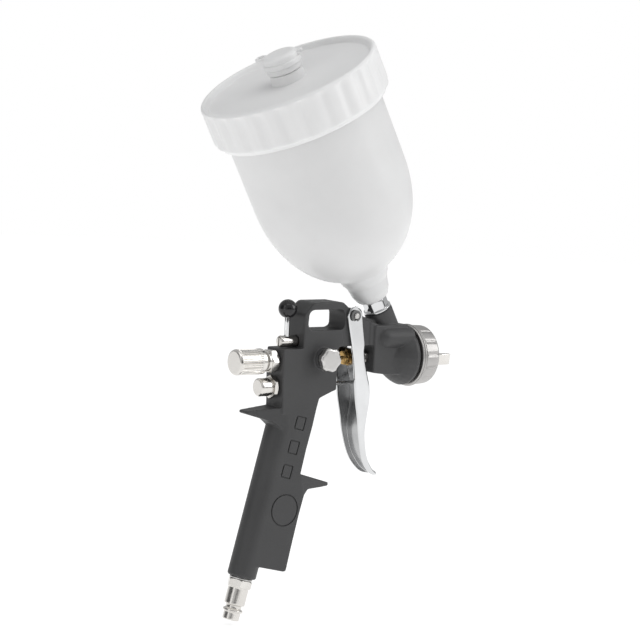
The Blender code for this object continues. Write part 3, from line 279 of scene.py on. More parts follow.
def lathe(name, profile, origin=NEEDLE_FOOT, axis=X_AXIS, sides=96, section=None, edge=0.25,
          longest=None, roll=0.0):
    """A turned piece. The profile is (distance, radius) in mm; section(angle, distance, radius)
    can change the radius around the piece."""
    closed = profile[0][1] > 0
    points = eased(profile, edge)
    if longest:
        points = split_long(points, longest, closed)
    rows = []
    verts = []
    for s, r in points:
        if r < ON_AXIS:
            rows.append([len(verts)])
            verts.append((0.0, 0.0, s * MM))
            continue
        row = []
        for k in range(sides):
            angle = 2 * pi * k / sides
            here = section(angle, s, r) if section else r
            row.append(len(verts))
            verts.append((here * cos(angle) * MM, here * sin(angle) * MM, s * MM))
        rows.append(row)
    faces = []
    pairs = list(zip(rows, rows[1:] + rows[:1]))
    for a, b in pairs if closed else pairs[:-1]:
        for k in range(sides):
            j = (k + 1) % sides
            if len(a) == 1:
                faces.append((a[0], b[k], b[j]))
            elif len(b) == 1:
                faces.append((a[j], a[k], b[0]))
            else:
                faces.append((a[j], a[k], b[k], b[j]))
    made = mesh_object(name, verts, faces)
    turn = Z_AXIS.rotation_difference(axis).to_matrix().to_4x4()
    made.matrix_world = Matrix.Translation(origin) @ turn @ Matrix.Rotation(roll, 4, "Z")
    return made


def finish(thing, skin, body, slot, *nodes, angle=32):
    """Shade a piece, give it its material, tie it to its body and hide the CAD nodes it replaces.
    """
    if skin:
        thing.data.materials.clear()
        thing.data.materials.append(skin)
    thing.data.shade_smooth()
    thing.data.set_sharp_from_angle(angle=radians(angle))
    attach(thing, body)
    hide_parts(*nodes)
    return thing


def hexed(low, high, across, turn=0.0, corner=0.35):
    """A section that is a hexagon between two distances."""
    def section(angle, s, r):
        if not low <= s <= high or r < across / 2:
            return r
        off = (angle - turn) % (pi / 3) - pi / 6
        flat = across / 2 / cos(off)
        return min(r, flat, across / sqrt(3) - corner * (1 - abs(off) * 6 / pi))
    return section


def settle(thing):
    """Replace a piece's mesh by its evaluated one and clear its modifiers."""
    bpy.context.view_layer.update()
    evaluated = thing.evaluated_get(bpy.context.evaluated_depsgraph_get())
    mesh = bpy.data.meshes.new_from_object(evaluated)
    thing.modifiers.clear()
    thing.data = mesh
    return thing


def carve(thing, others, operation="DIFFERENCE", solver="MANIFOLD"):
    for other in others:
        step = thing.modifiers.new("carve", "BOOLEAN")
        step.operation = operation
        step.solver = solver
        step.object = other
    settle(thing)
    for other in others:
        bpy.data.objects.remove(other, do_unlink=True)
    return thing


def soften(thing, voxel, passes, factor=0.5):
    """Voxel remesh and smoothing, which rounds every edge of a piece as casting does."""
    remesh = thing.modifiers.new("remesh", "REMESH")
    remesh.mode = "VOXEL"
    remesh.voxel_size = voxel * MM
    relax = thing.modifiers.new("relax", "SMOOTH")
    relax.factor = factor
    relax.iterations = passes
    return settle(thing)


def bake(thing):
    """Move a piece's placing into its mesh, so that cutters can be given in the gun's frame."""
    thing.data.transform(thing.matrix_world)
    thing.matrix_world = Matrix.Identity(4)


def drill(low, high, radius, origin, axis, sides):
    """A round cutter along an axis from a point in mm."""
    return lathe("drill", [(low, 0), (low, radius), (high, radius), (high, 0)],
                 Vector(origin) * MM, axis, sides)


def bar(name, low, high):
    """A block between two corners in mm."""
    made = mesh_object(name, [(x, y, z) for x in (low[0], high[0]) for y in (low[1], high[1])
                              for z in (low[2], high[2])],
                       [(0, 1, 3, 2), (4, 6, 7, 5), (0, 4, 5, 1), (2, 3, 7, 6), (0, 2, 6, 4),
                        (1, 5, 7, 3)])
    made.data.transform(Matrix.Scale(MM, 4))
    return made


def prism(name, outline, low, high, axis="Y"):
    """An outline in mm extruded along Y (drawn in X and Z) or along Z (drawn in X and Y)."""
    count = len(outline)
    verts = []
    for level in (low, high):
        for a, b in outline:
            verts.append((a, level, b) if axis == "Y" else (a, b, level))
    faces = [tuple(range(count)), tuple(range(2 * count - 1, count - 1, -1))]
    for k in range(count):
        j = (k + 1) % count
        faces.append((k, j, count + j, count + k))
    made = mesh_object(name, verts, faces)
    made.data.transform(Matrix.Scale(MM, 4))
    return made


# ---- casting --------------------------------------------------------------------------------
HANDLE_SIDE = -8.8                  # near face of the handle
MARK_FIRST = (-94.8, -37.2)         # centre of the top pressed rectangle
MARK_STEP = (-4.1, -14.4)
MARK_HALF = (3.7, 4.2)
MARK_LINE = 0.8
MARK_DEPTH = 0.7
BADGE = (-103.6, -89.5)             # centre of the plain ring pressed into the handle
BADGE_R = 9.9
BADGE_LINE = 0.9
BADGE_DEPTH = 0.6


def groove_ring(name, centre, loops, depth):
    """A closed groove cutter between two loops of points drawn on the handle's side."""
    count = len(loops[0])
    verts = []
    for y in (HANDLE_SIDE - 2.0, HANDLE_SIDE + depth):
        for loop in loops:
            verts += [(centre[0] + a, y, centre[1] + b) for a, b in loop]
    outer, inner, outer_deep, inner_deep = (count * level for level in range(4))
    faces = []
    for k in range(count):
        j = (k + 1) % count
        faces.append((outer + k, outer + j, inner + j, inner + k))
        faces.append((outer_deep + k, inner_deep + k, inner_deep + j, outer_deep + j))
        faces.append((outer + k, outer_deep + k, outer_deep + j, outer + j))
        faces.append((inner + k, inner + j, inner_deep + j, inner_deep + k))
    made = mesh_object(name, verts, faces)
    made.data.transform(Matrix.Scale(MM, 4))
    return made


def oblong_loop(half, tall, corner):
    """A rectangle with rounded corners, leaning with the handle."""
    points = []
    for quarter in range(4):
        base = quarter * pi / 2 + pi / 4
        for k in range(5):
            a = quarter * pi / 2 + k * pi / 8
            x = (half - corner) * sqrt(2) * cos(base) + corner * cos(a)
            y = (tall - corner) * sqrt(2) * sin(base) + corner * sin(a)
            points.append((x * cos(HANDLE_TILT) + y * sin(HANDLE_TILT),
                           -x * sin(HANDLE_TILT) + y * cos(HANDLE_TILT)))
    return points


def circle_loop(radius, count=72):
    return [(radius * cos(2 * pi * k / count), radius * sin(2 * pi * k / count))
            for k in range(count)]


def casting():
    """The CAD casting with soft edges and the marks pressed into its near side."""
    made = bpy.data.objects.new("casting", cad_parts["gun_body"].data.copy())
    bpy.context.scene.collection.objects.link(made)
    soften(made, 0.36, 14)
    marks = []
    for step in range(3):
        centre = (MARK_FIRST[0] + MARK_STEP[0] * step, MARK_FIRST[1] + MARK_STEP[1] * step)
        loops = [oblong_loop(*MARK_HALF, 0.7),
                 oblong_loop(MARK_HALF[0] - MARK_LINE, MARK_HALF[1] - MARK_LINE, 0.35)]
        marks.append(groove_ring("square_groove", centre, loops, MARK_DEPTH))
    badge = [circle_loop(BADGE_R), circle_loop(BADGE_R - BADGE_LINE)]
    marks.append(groove_ring("round_groove", BADGE, badge, BADGE_DEPTH))
    carve(made, marks)
    return finish(made, PAINT, "gun", "body_paint", "gun_body", angle=40)


# ---- front: nozzle, cap and ring ------------------------------------------------------------
RING_R = 18.8                       # air cap ring
RING_FRONT = 4.0
RING_BACK = -10.0
RING_BORE_R = 16.5
RING_MOUTH_R = 14.9
RING_PANELS = 14
CAP_R = 16.2
CAP_TURN = radians(7.5)             # how far the air cap is turned about the needle's axis
HORN_TIP = 15.4
HORN_HALF = 3.4
NOZZLE_HEX = 11.4
NOZZLE_THREAD_R = 4.3
PAINT_WAY_R = 2.4
MOUTH_R = 0.86


def scallops(count, depth, low, high, fade, power, turn):
    """A section with flutes around the piece, which fade out at both ends."""
    def section(angle, s, r):
        if not low < s < high:
            return r
        ends = min(1.0, (s - low) / fade, (high - s) / fade)
        wave = (0.5 + 0.5 * cos(count * (angle - turn))) ** power
        return r - depth * wave * sqrt(max(ends, 0.0))
    return section


def cap_ring():
    """Panels parted by narrow grooves, then a neck and two beads at the rear."""
    profile = [(RING_FRONT, 17.2), (3.2, 18.0), (2.6, 18.3), (-6.6, RING_R), (-6.9, 18.2),
               (-7.3, 18.2), (-7.5, 19.5), (-8.4, 19.55), (-8.6, 18.9), (-8.9, 18.9),
               (-9.1, 19.2), (RING_BACK, 19.0), (RING_BACK, RING_BORE_R), (2.6, RING_BORE_R),
               (2.6, RING_MOUTH_R), (RING_FRONT, RING_MOUTH_R)]
    panels = scallops(RING_PANELS, 0.75, -6.4, 2.9, 1.0, 7.0, 0.1)
    finish(lathe("cap_ring", profile, sides=256, section=panels, edge=0.35, longest=0.8),
           RING, "cap_ring", "nickel", "air_cap_ring")


def spray_cap():
    """The air cap's dished disc, its two horns, and the drilled air holes."""
    cap = lathe("spray_cap", [(0.6, 2.1), (0.9, 5.5), (3.3, 8.5), (3.3, 13.6), (2.3, 14.6),
                              (2.3, CAP_R), (-2.8, CAP_R), (-2.8, 8.2), (-0.8, 5.6),
                              (-0.6, 2.1)], edge=0.3)
    bake(cap)
    horns = []
    drills = []
    for side in (-1, 1):
        outline = [(0.9, side * 9.0), (HORN_TIP, side * 12.0), (HORN_TIP, side * 14.2),
                   (0.9, side * 14.4)]
        horns.append(prism("cap_horn", outline, -HORN_HALF, HORN_HALF, "Z"))
        for height in (-1.3, 1.3):
            start = Vector((8.5, side * 5.0, height))
            reach = Vector((11.3, side * 12.9, height)) - start
            drills.append(drill(0, reach.length, 0.55, start, reach.normalized(), 16))
        drills.append(drill(-1, 3, 0.4, (0, side * 3.8, 0), X_AXIS, 12))
    carve(cap, horns, "UNION")
    carve(cap, drills)
    soften(cap, 0.22, 3)
    cap.data.transform(Matrix.Rotation(CAP_TURN, 4, "X"))
    finish(cap, NICKEL, "spray_cap", "nickel", "air_cap")


def nozzle():
    profile = [(-0.5, 1.46), (-3.6, 4.4), (-3.8, 6.3), (-5.7, 6.3), (-5.7, 4.4),
               (-6.3, NOZZLE_THREAD_R), (-13.7, NOZZLE_THREAD_R), (-13.7, PAINT_WAY_R),
               (-5.0, PAINT_WAY_R), (-1.2, MOUTH_R), (-0.5, MOUTH_R)]
    finish(lathe("nozzle", profile, section=hexed(-5.75, -3.75, NOZZLE_HEX), edge=0.15), STEEL,
           "gun", "steel", "fluid_nozzle")


# ---- needle, its nuts and the fittings around it --------------------------------------------
NEEDLE_R = 1.0
NEEDLE_HOLE_R = 1.3                 # in fixed pieces
NUT_HOLE_R = 1.1                    # in the nuts that ride on the needle
NEEDLE_TAIL = -112.0
GUIDE_R = 4.6
PACKING_R = 2.6
HEX_EDGE = 0.05                     # how far a hexagon's section reaches past its ends


def hex_profile(low, high, across, inner, chamfer=0.7):
    """Profile points of a chamfered hexagon from its low end to its high end."""
    corner = across / sqrt(3)
    return [(low, inner), (low, across / 2 + 0.15), (low + chamfer, corner),
            (high - chamfer, corner), (high, across / 2 + 0.15), (high, inner)]


def fitting(name, front, grip, rear, origin=NEEDLE_FOOT, edge=0.15, longest=0.35, roll=0.0):
    """A turned fitting with a hexagon; its profile runs from the front to the rear.
    The grip is the hexagon's low end, high end, width across flats, inner radius and chamfer."""
    low, high, across = grip[:3]
    return lathe(name, front + hex_profile(*grip)[::-1] + rear, origin, edge=edge, roll=roll,
                 section=hexed(low - HEX_EDGE, high + HEX_EDGE, across), longest=longest)


def needle_parts():
    """The needle, the brass nuts on it, its gland nut and the bush that guides it."""
    needle = [(0, 0), (0, 0.5), (-4.6, NEEDLE_R), (-95.5, NEEDLE_R), (-95.5, 2.7), (-97.0, 2.7),
              (-97.0, NEEDLE_R), (NEEDLE_TAIL, NEEDLE_R), (NEEDLE_TAIL, 0)]
    finish(lathe("needle_rod", needle, sides=32, edge=0.1), STEEL, "fluid_needle", "steel",
           "needle")
    finish(fitting("push_nut", [(-51.4, NUT_HOLE_R), (-51.4, 4.1), (-52.1, 4.3)],
                   (-55.6, -52.2, 8.8, 4.3), [(-56.2, 4.2), (-56.2, NUT_HOLE_R)]),
           BRASS, "fluid_needle", "brass", "needle_push_nut")
    finish(fitting("lock_nut", [(-56.5, NUT_HOLE_R), (-56.5, 3.5)],
                   (-58.8, -56.9, 8.0, 3.6, 0.5), [(-59.2, 3.5), (-59.2, NUT_HOLE_R)],
                   roll=pi / 6), BRASS, "fluid_needle", "brass", "needle_lock_nut")
    finish(fitting("gland_nut",
                   [(-37.0, NEEDLE_HOLE_R), (-37.0, PACKING_R), (-42.2, PACKING_R)],
                   (-44.4, -42.3, 8.6, 2.8, 0.4),
                   [(-44.8, 2.6), (-45.4, 1.9), (-45.4, NEEDLE_HOLE_R)], longest=0.4),
           NICKEL, "gun", "nickel", "packing_nut")
    finish(fitting("guide_bush",
                   [(-63.6, NEEDLE_HOLE_R), (-63.6, GUIDE_R), (-64.2, 5.0), (-65.1, 5.0)],
                   (-68.5, -65.2, 11.5, 5.0),
                   [(-68.5, GUIDE_R), (-74.6, GUIDE_R), (-74.6, NEEDLE_HOLE_R)], edge=0.2,
                   longest=0.5), NICKEL, "gun", "nickel", "needle_guide_bush")


# ---- fluid knob, air valve and air plug -----------------------------------------------------
SLEEVE_THREAD_R = 4.7
SLEEVE_START = -103.0
REAR_FACE = -109.7                  # rear fittings seat here, just behind the casting
FLUID_KNOB_R = 7.76
FLUID_KNOB_FRONT = -117.6
FLUID_KNOB_END = -139.0
KNURLS = 36
VALVE_STEM_R = 1.2
VALVE_CAP_R = 5.5
VALVE_CAP_END = -121.4
PLUG_THREAD_R = 5.0
PLUG_BORE_R = 3.5
PLUG_R = 6.3
PLUG_HEX = 13.6
PLUG_NOSE_R = 5.1
PLUG_GROOVE_R = 4.75
PLUG_END = 26.2


def knurled(count, depth, low, high):
    """Straight knurling that fades out at both ends."""
    def section(angle, s, r):
        if not low < s < high:
            return r
        ends = min(1.0, (s - low) / 0.7, (high - s) / 0.7)
        across = abs((angle * count / (2 * pi)) % 1.0 - 0.5) * 2
        groove = max(0.0, across - 0.55) / 0.45
        return r - depth * groove * (2 - groove) * max(ends, 0.0)
    return section


def fluid_side():
    """The sleeve screwed in behind the needle and the knurled knob on it."""
    finish(fitting("fluid_sleeve_nut",
                   [(SLEEVE_START, SLEEVE_THREAD_R), (REAR_FACE, SLEEVE_THREAD_R),
                    (REAR_FACE, 5.9), (-110.0, 6.2), (-110.8, 6.2)],
                   (-115.4, -110.9, 13.0, 6.2),
                   [(-116.9, 6.2), (-117.2, 5.9), (-117.2, SLEEVE_THREAD_R),
                    (-128.0, SLEEVE_THREAD_R), (-128.0, 3.3), (SLEEVE_START, 3.3)],
                   edge=0.2, longest=0.6, roll=pi / 6), NICKEL, "gun", "nickel",
           "fluid_sleeve")
    knob = [(-135.0, 0), (-135.0, 5.0), (FLUID_KNOB_FRONT, 5.0), (FLUID_KNOB_FRONT, 6.1),
            (-117.9, 6.4), (-118.6, 6.7), (-119.9, 7.7), (-120.3, FLUID_KNOB_R),
            (-137.7, FLUID_KNOB_R), (-138.6, 7.3), (FLUID_KNOB_END, 6.8), (FLUID_KNOB_END, 0)]
    finish(lathe("knurled_knob", knob, sides=448, section=knurled(KNURLS, 0.5, -137.6, -122.6),
                 edge=0.3, longest=0.7), NICKEL, "fluid_control", "nickel", "fluid_knob",
           angle=55)


def air_side():
    """The air valve's cap, stem and gland."""
    finish(fitting("valve_cap",
                   [(-119.6, 0), (-119.6, 3.7), (SLEEVE_START, 3.7),
                    (SLEEVE_START, SLEEVE_THREAD_R), (REAR_FACE, SLEEVE_THREAD_R)],
                   (-112.9, -110.3, 12.6, 5.4, 0.6),
                   [(-113.2, 6.0), (-113.4, 4.9), (-114.1, 4.9), (-114.2, VALVE_CAP_R),
                    (-120.6, VALVE_CAP_R), (VALVE_CAP_END, 4.7), (VALVE_CAP_END, 0)],
                   AIR_VALVE, edge=0.2, longest=0.6), NICKEL, "gun", "nickel",
           "air_valve_cap")
    stem = [(-47.0, 0), (-47.0, VALVE_STEM_R), (-92.6, VALVE_STEM_R), (-92.6, 3.4),
            (-94.4, 3.4), (-94.4, VALVE_STEM_R), (-110.0, VALVE_STEM_R), (-110.0, 0)]
    finish(lathe("valve_stem", stem, AIR_VALVE, sides=40, edge=0.15), STEEL, "air_valve",
           "steel", "air_valve_stem")
    finish(lathe("valve_gland", [(-67.2, 1.5), (-67.2, 2.1), (-74.4, 2.1), (-74.4, 1.5)],
                 AIR_VALVE, sides=48, edge=0.15), BRASS, "gun", "brass", "air_valve_gland")


def air_plug():
    """The quick-connect plug under the handle and the washer it clamps."""
    profile = [(-9.5, PLUG_BORE_R), (-9.5, 4.9), (1.5, PLUG_THREAD_R), (1.55, 6.4)]
    profile += hex_profile(1.6, 6.2, PLUG_HEX, 6.4, 0.6)
    profile += [(6.8, PLUG_R), (16.6, PLUG_R), (17.2, PLUG_GROOVE_R), (18.9, PLUG_GROOVE_R),
                (19.9, 6.1), (20.9, 6.1), (21.3, PLUG_NOSE_R), (25.8, PLUG_NOSE_R),
                (PLUG_END, 4.7), (PLUG_END, PLUG_BORE_R)]
    finish(lathe("inlet_plug", profile, PLUG_FOOT, PLUG_AXIS,
                 section=hexed(1.58, 6.25, PLUG_HEX), edge=0.25, longest=0.6),
           NICKEL, "gun", "nickel", "air_inlet_plug")
    finish(lathe("inlet_ring", [(1.3, 5.3), (1.3, 6.8), (0.9, 7.0), (0.7, 7.0), (0.3, 6.8),
                                (0.3, 5.3)], PLUG_FOOT, PLUG_AXIS, edge=0.15), SATIN, "gun",
           "nickel", "inlet_washer")


# ---- fan knob and lever ---------------------------------------------------------------------
FAN_KNOB_R = 7.5
FAN_KNOB_BACK = 12.4
FAN_KNOB_FACE = 18.0
FAN_BORE_R = 1.9
FAN_LOBES = 6
FAN_BITE_R = 9.0                    # circles that bite the knob into lobes
FAN_BITE_REACH = 15.7               # from the knob's axis to their centres
LEVER_ROD_R = 1.7
LEVER_BALL_R = 5.7
LEVER_BALL_Z = 31.0
LEVER_BARREL_R = 3.1
LEVER_END = -107.3


def lobed(count, radius, reach, bite):
    """A round section bitten by circles around it."""
    def section(angle, s, r):
        off = (angle + pi / count) % (2 * pi / count) - pi / count
        side = reach * sin(off)
        if abs(side) >= bite or r < radius * 0.6:
            return r
        edge = reach * cos(off) - sqrt(bite * bite - side * side)
        return min(r, edge - (radius - r))
    return section


def fan_side():
    """The six-lobed fan knob and the collar of its bush."""
    axis = -Y_AXIS
    back = FAN_KNOB_BACK
    knob = [(15.8, 0), (15.8, FAN_BORE_R), (back, FAN_BORE_R), (back, 4.6), (back + 1.2, 4.6),
            (back + 1.4, 6.9), (back + 1.7, FAN_KNOB_R), (16.9, FAN_KNOB_R), (17.7, 7.0),
            (FAN_KNOB_FACE, 6.2), (FAN_KNOB_FACE, 0)]
    lobes = lobed(FAN_LOBES, FAN_KNOB_R, FAN_BITE_REACH, FAN_BITE_R)
    finish(lathe("fan_knob_lobed", knob, FAN, axis, 240, lobes, 0.3, 0.7, roll=radians(20)),
           SATIN, "fan_control", "nickel", "fan_knob", angle=40)
    collar = [(12.1, 4.1), (11.9, 4.3), (11.5, 4.3), (11.5, 3.2), (4.6, 3.2),
              (4.6, FAN_BORE_R), (12.1, FAN_BORE_R)]
    finish(lathe("fan_collar", collar, FAN, axis, edge=0.15), NICKEL, "gun", "nickel",
           "fan_bush")


def lever():
    """The air lever: slotted barrel, rod and black ball."""
    spindle = lathe("lever_barrel", [(-73.4, 0), (-73.4, LEVER_BARREL_R),
                                     (-95.4, LEVER_BARREL_R), (-95.4, 3.3), (-106.2, 3.5),
                                     (-107.0, LEVER_BARREL_R), (LEVER_END, 2.6),
                                     (LEVER_END, 0)], LEVER, edge=0.25)
    bake(spindle)
    socket = drill(0.4, 10, 2.0, (LEVER_X, 0, LEVER.z / MM), Z_AXIS, 48)
    carve(spindle, [socket, bar("slot", (-110.0, -0.5, 0.0), (-105.8, 0.5, 20.0))])
    finish(spindle, NICKEL, "air_lever", "nickel", "lever_spindle")
    foot = Vector((LEVER_X, 0, 0)) * MM
    finish(lathe("lever_pin", [(12.2, 0), (12.2, LEVER_ROD_R), (29.7, LEVER_ROD_R), (29.7, 0)],
                 foot, Z_AXIS, 48, edge=0.2), CHROME, "air_lever", "chrome", "lever_rod")
    ball = [(LEVER_BALL_Z - LEVER_BALL_R * cos(k * pi / 32), LEVER_BALL_R * sin(k * pi / 32))
            for k in range(33)]
    flat = LEVER_BALL_Z - 5.25
    ball = [point for point in ball if point[0] > LEVER_BALL_Z - 5.2]
    ball = [(flat, 0), (flat, 1.9)] + ball[:-1] + [(LEVER_BALL_Z + LEVER_BALL_R, 0)]
    finish(lathe("lever_knob", ball, foot, Z_AXIS, 96, edge=0.1), BALL, "air_lever",
           "black_plastic", "lever_ball")


# ---- trigger --------------------------------------------------------------------------------
TRIGGER_STATIONS = [                # front edge (x, z), rear edge (x, z), share of the width
    ((-53.0, 26.0), (-63.4, 26.0), 1.0), ((-52.1, 20.0), (-62.2, 20.0), 1.0),
    ((-50.3, 10.0), (-59.8, 10.0), 1.0), ((-48.9, 0.0), (-57.6, 0.0), 1.0),
    ((-46.2, -10.0), (-56.2, -10.0), 1.0), ((-43.9, -18.0), (-55.2, -18.0), 1.0),
    ((-43.6, -26.0), (-54.1, -26.0), 1.0), ((-44.8, -36.0), (-51.9, -36.0), 0.98),
    ((-45.5, -46.0), (-50.1, -46.3), 0.95), ((-43.6, -56.0), (-47.4, -56.8), 0.86),
    ((-40.9, -62.8), (-44.2, -64.6), 0.75), ((-36.8, -68.6), (-39.1, -70.8), 0.64),
    ((-34.0, -71.0), (-35.3, -73.2), 0.54), ((-31.4, -72.2), (-31.0, -73.9), 0.42)]
TRIGGER_HALF = 9.8
TRIGGER_EYE_R = 5.2
WEB_TOP = 5.0                       # height where the channel's front wall starts
WEB_FADE = 4.0                      # over this height the bend into that wall opens
BEND_R = 1.2
SHEET = 1.2
SIDE_STEPS = 6
BEND_STEPS = 7
WEB_STEPS = 12
PIN_R = 1.7
CLIP_FACES = (-10.4, -11.2)


def smooth_rows(stations, per_gap):
    """Catmull-Rom rows between the trigger's stations."""
    table = [np.array([f[0], f[1], r[0], r[1], w]) for f, r, w in stations]
    table = [table[0] * 2 - table[1]] + table + [table[-1] * 2 - table[-2]]
    rows = []
    for a, b, c, d in zip(table, table[1:], table[2:], table[3:]):
        for k in range(per_gap):
            t = k / per_gap
            rows.append(0.5 * (2 * b + (c - a) * t + (2 * a - 5 * b + 4 * c - d) * t ** 2
                               + (3 * b - a - 3 * c + d) * t ** 3))
    rows.append(table[-2])
    return rows


def eye_rows():
    """Rows that round off the arms' tops about the pivot."""
    x, z = PIVOT.x / MM, PIVOT.z / MM
    rows = []
    for k in range(9, 0, -1):
        a = k * pi / 2 / 9.3
        reach = TRIGGER_EYE_R * cos(a)
        level = z + TRIGGER_EYE_R * sin(a)
        rows.append(np.array([x + reach, level, x - reach, level, 1.0]))
    return rows


def channel_line(row):
    """One row of the sheet's middle surface: down one arm, round the front, up the other."""
    fx, fz, rx, rz, w = row
    front = Vector((fx, 0, fz))
    depth = (Vector((rx, 0, rz)) - front).length
    inward = (Vector((rx, 0, rz)) - front).normalized()
    fade = min(1.0, max(0.0, (WEB_TOP + WEB_FADE - fz) / WEB_FADE))
    bend = max(min(BEND_R, depth * 0.7) * fade, 0.01)
    width = TRIGGER_HALF * w - SHEET / 2
    side = [(depth + (bend - depth) * k / SIDE_STEPS, width) for k in range(SIDE_STEPS)]
    for k in range(BEND_STEPS + 1):
        a = k * pi / 2 / BEND_STEPS
        side.append((bend * (1 - sin(a)), width - bend * (1 - cos(a))))
    web = [(0.0, (width - bend) * (1 - 2 * k / WEB_STEPS)) for k in range(1, WEB_STEPS)]
    line = side + web + [(d, -y) for d, y in reversed(side)]
    return [front + inward * d + Y_AXIS * y for d, y in line]


def trigger():
    """A bent sheet channel, open at the rear, and open in front above the web."""
    rows = eye_rows() + smooth_rows(TRIGGER_STATIONS, 6)
    lines = [channel_line(row) for row in rows]
    count = len(lines[0])
    first_web = SIDE_STEPS + BEND_STEPS
    faces = []
    for i, row in enumerate(rows[:-1]):
        for j in range(count - 1):
            if first_web <= j < first_web + WEB_STEPS and row[1] > WEB_TOP:
                continue
            a = i * count + j
            faces.append((a, a + 1, a + count + 1, a + count))
    made = mesh_object("trigger_channel", [point for line in lines for point in line], faces)
    made.data.transform(Matrix.Scale(MM, 4))
    made.data.materials.append(CHROME)
    # the sheet's offset shell takes the darker chrome, which is painted shade on the channel's
    # inner faces
    made.data.materials.append(CHROME_PAINTED_SHADE)
    sheet = made.modifiers.new("sheet", "SOLIDIFY")
    sheet.thickness = SHEET * MM
    sheet.offset = 0.0
    sheet.use_even_offset = True
    sheet.material_offset = 1
    edges = made.modifiers.new("edges", "BEVEL")
    edges.width = 0.28 * MM
    edges.segments = 2
    edges.angle_limit = radians(60)
    settle(made)
    finish(made, None, "trigger_lever", "chrome", "trigger", angle=35)


def pivot():
    """The headed pin through the trigger's eyes and the clip that holds it."""
    pin = [(11.7, 0), (11.7, 2.4), (11.2, 3.1), (10.1, 3.2), (10.1, PIN_R), (-10.3, PIN_R),
           (-10.3, 1.2), (-11.3, 1.2), (-11.3, PIN_R), (-12.0, PIN_R), (-12.3, 1.4),
           (-12.3, 0)]
    finish(lathe("pivot_pin", pin, PIVOT, Y_AXIS, 64, edge=0.15), SATIN, "gun", "steel",
           "trigger_pin")
    near, far = CLIP_FACES
    clip = lathe("pivot_clip", [(near, 3.5), (far, 3.5), (far, 1.3), (near, 1.3)], PIVOT,
                 Y_AXIS, 96, edge=0.12)
    bake(clip)
    x, z = PIVOT.x / MM, PIVOT.z / MM
    carve(clip, [bar("mouth", (x - 1.1, -20.0, z - 6.0), (x + 1.1, 0.0, z))])
    finish(clip, CLIP, "gun", "black_plastic", "trigger_clip")


# ---- cup and lid ----------------------------------------------------------------------------
CUP_TOP = 187.2                     # distances along the cup's axis, from the needle's axis
CUP_R = 48.0
CUP_RIM_R = 49.9
CUP_WALL = 1.8
CUP_FOOT_S = 41.5
BOWL_START = 64.5
BOWL_TOP = 122.0
BOWL_BOTTOM = 58.0                  # where the bowl's curve would close on the axis
BOWL_POWER = 2.15
ADAPTER_BORE_R = 3.4
ADAPTER_THREAD_R = 5.2
ADAPTER_FLAT = 7.2                  # half the width across its flats
LID_R = 55.0
LID_RIM = 193.5
LID_FLOOR = 190.1
LID_LOW = 166.5
LID_PLUG = 196.1                    # top of the boss under the vent
LID_FLUTES = 26
VENT_BASE = 196.4
VENT_EYE = (-4.3, 13.4, 9.0)        # across, across and along the cup's axis from the base


def cup():
    neck = [(CUP_FOOT_S, 8.6), (42.4, 9.9), (44.0, 10.7), (47.0, 12.0), (50.5, 12.6),
            (54.0, 13.2), (57.0, 15.0), (61.0, 16.2)]
    bowl = []
    for k in range(25):
        s = BOWL_START + (BOWL_TOP - BOWL_START) * (k / 24) ** 1.5
        fall = (BOWL_TOP - s) / (BOWL_TOP - BOWL_BOTTOM)
        bowl.append((s, CUP_R * sqrt(1 - fall ** BOWL_POWER)))
    outer = neck + bowl + [(171.2, CUP_R), (171.9, 49.4), (172.7, CUP_RIM_R),
                           (CUP_TOP, CUP_RIM_R)]
    inner = [(s + CUP_WALL, r - CUP_WALL) for s, r in neck[7:] + bowl]
    inner.append((CUP_TOP, CUP_R - CUP_WALL))
    profile = outer[::-1] + [(CUP_FOOT_S, 5.5), (53.8, 5.5), (57.6, 11.8)] + inner
    finish(lathe("cup_shell", profile, CUP_FOOT, CUP_AXIS, 192, edge=0.6), CUP_SKIN,
           "paint_cup", "cup_plastic", "cup", angle=60)


def cup_insert():
    """The cup's metal adapter: a flange, six flats and a thread below."""
    low, high = 33.8, 41.2
    profile = [(52.5, ADAPTER_THREAD_R), (high, ADAPTER_THREAD_R), (high, 6.9),
               (high - 0.6, 7.75), (low + 1.5, 7.75), (low + 1.25, 7.9), (low + 1.2, 8.4),
               (low + 1.0, 8.7), (low + 0.2, 8.7), (low, 8.4), (low, ADAPTER_THREAD_R),
               (24.0, ADAPTER_THREAD_R), (24.0, ADAPTER_BORE_R), (52.5, ADAPTER_BORE_R)]

    def flats(angle, s, r):
        if low + 1.4 < s < high + 0.1 and r > 5.5:
            return min(r, ADAPTER_FLAT / cos((angle + pi / 6) % (pi / 3) - pi / 6))
        return r
    finish(lathe("cup_insert", profile, CUP_FOOT, CUP_AXIS, 96, flats, 0.2, 0.6), CHROME,
           "paint_cup", "chrome", "cup_adapter")


def lid():
    profile = [(LID_PLUG, 1.0), (LID_PLUG, 10.0), (190.3, 10.5), (LID_FLOOR, 11.4),
               (LID_FLOOR, 50.4), (LID_RIM - 0.8, 51.6), (LID_RIM, 52.4), (LID_RIM, 53.6),
               (LID_RIM - 0.9, 54.7), (LID_RIM - 2.2, LID_R), (170.2, LID_R), (169.2, 54.5),
               (168.6, 53.2), (167.4, 52.6), (LID_LOW, 52.1), (LID_LOW, 50.5), (187.5, 50.5),
               (187.5, 1.0)]
    flutes = scallops(LID_FLUTES, 1.15, 168.8, 191.9, 2.2, 1.6, 0.06)

    def wavy(angle, s, r):
        return flutes(angle, s, r) if r > 53.0 else r
    finish(lathe("lid_shell", profile, CUP_FOOT, CUP_AXIS, 520, wavy, 0.7, 1.2), LID_SKIN,
           "cup_lid", "lid_plastic", "lid", angle=60)


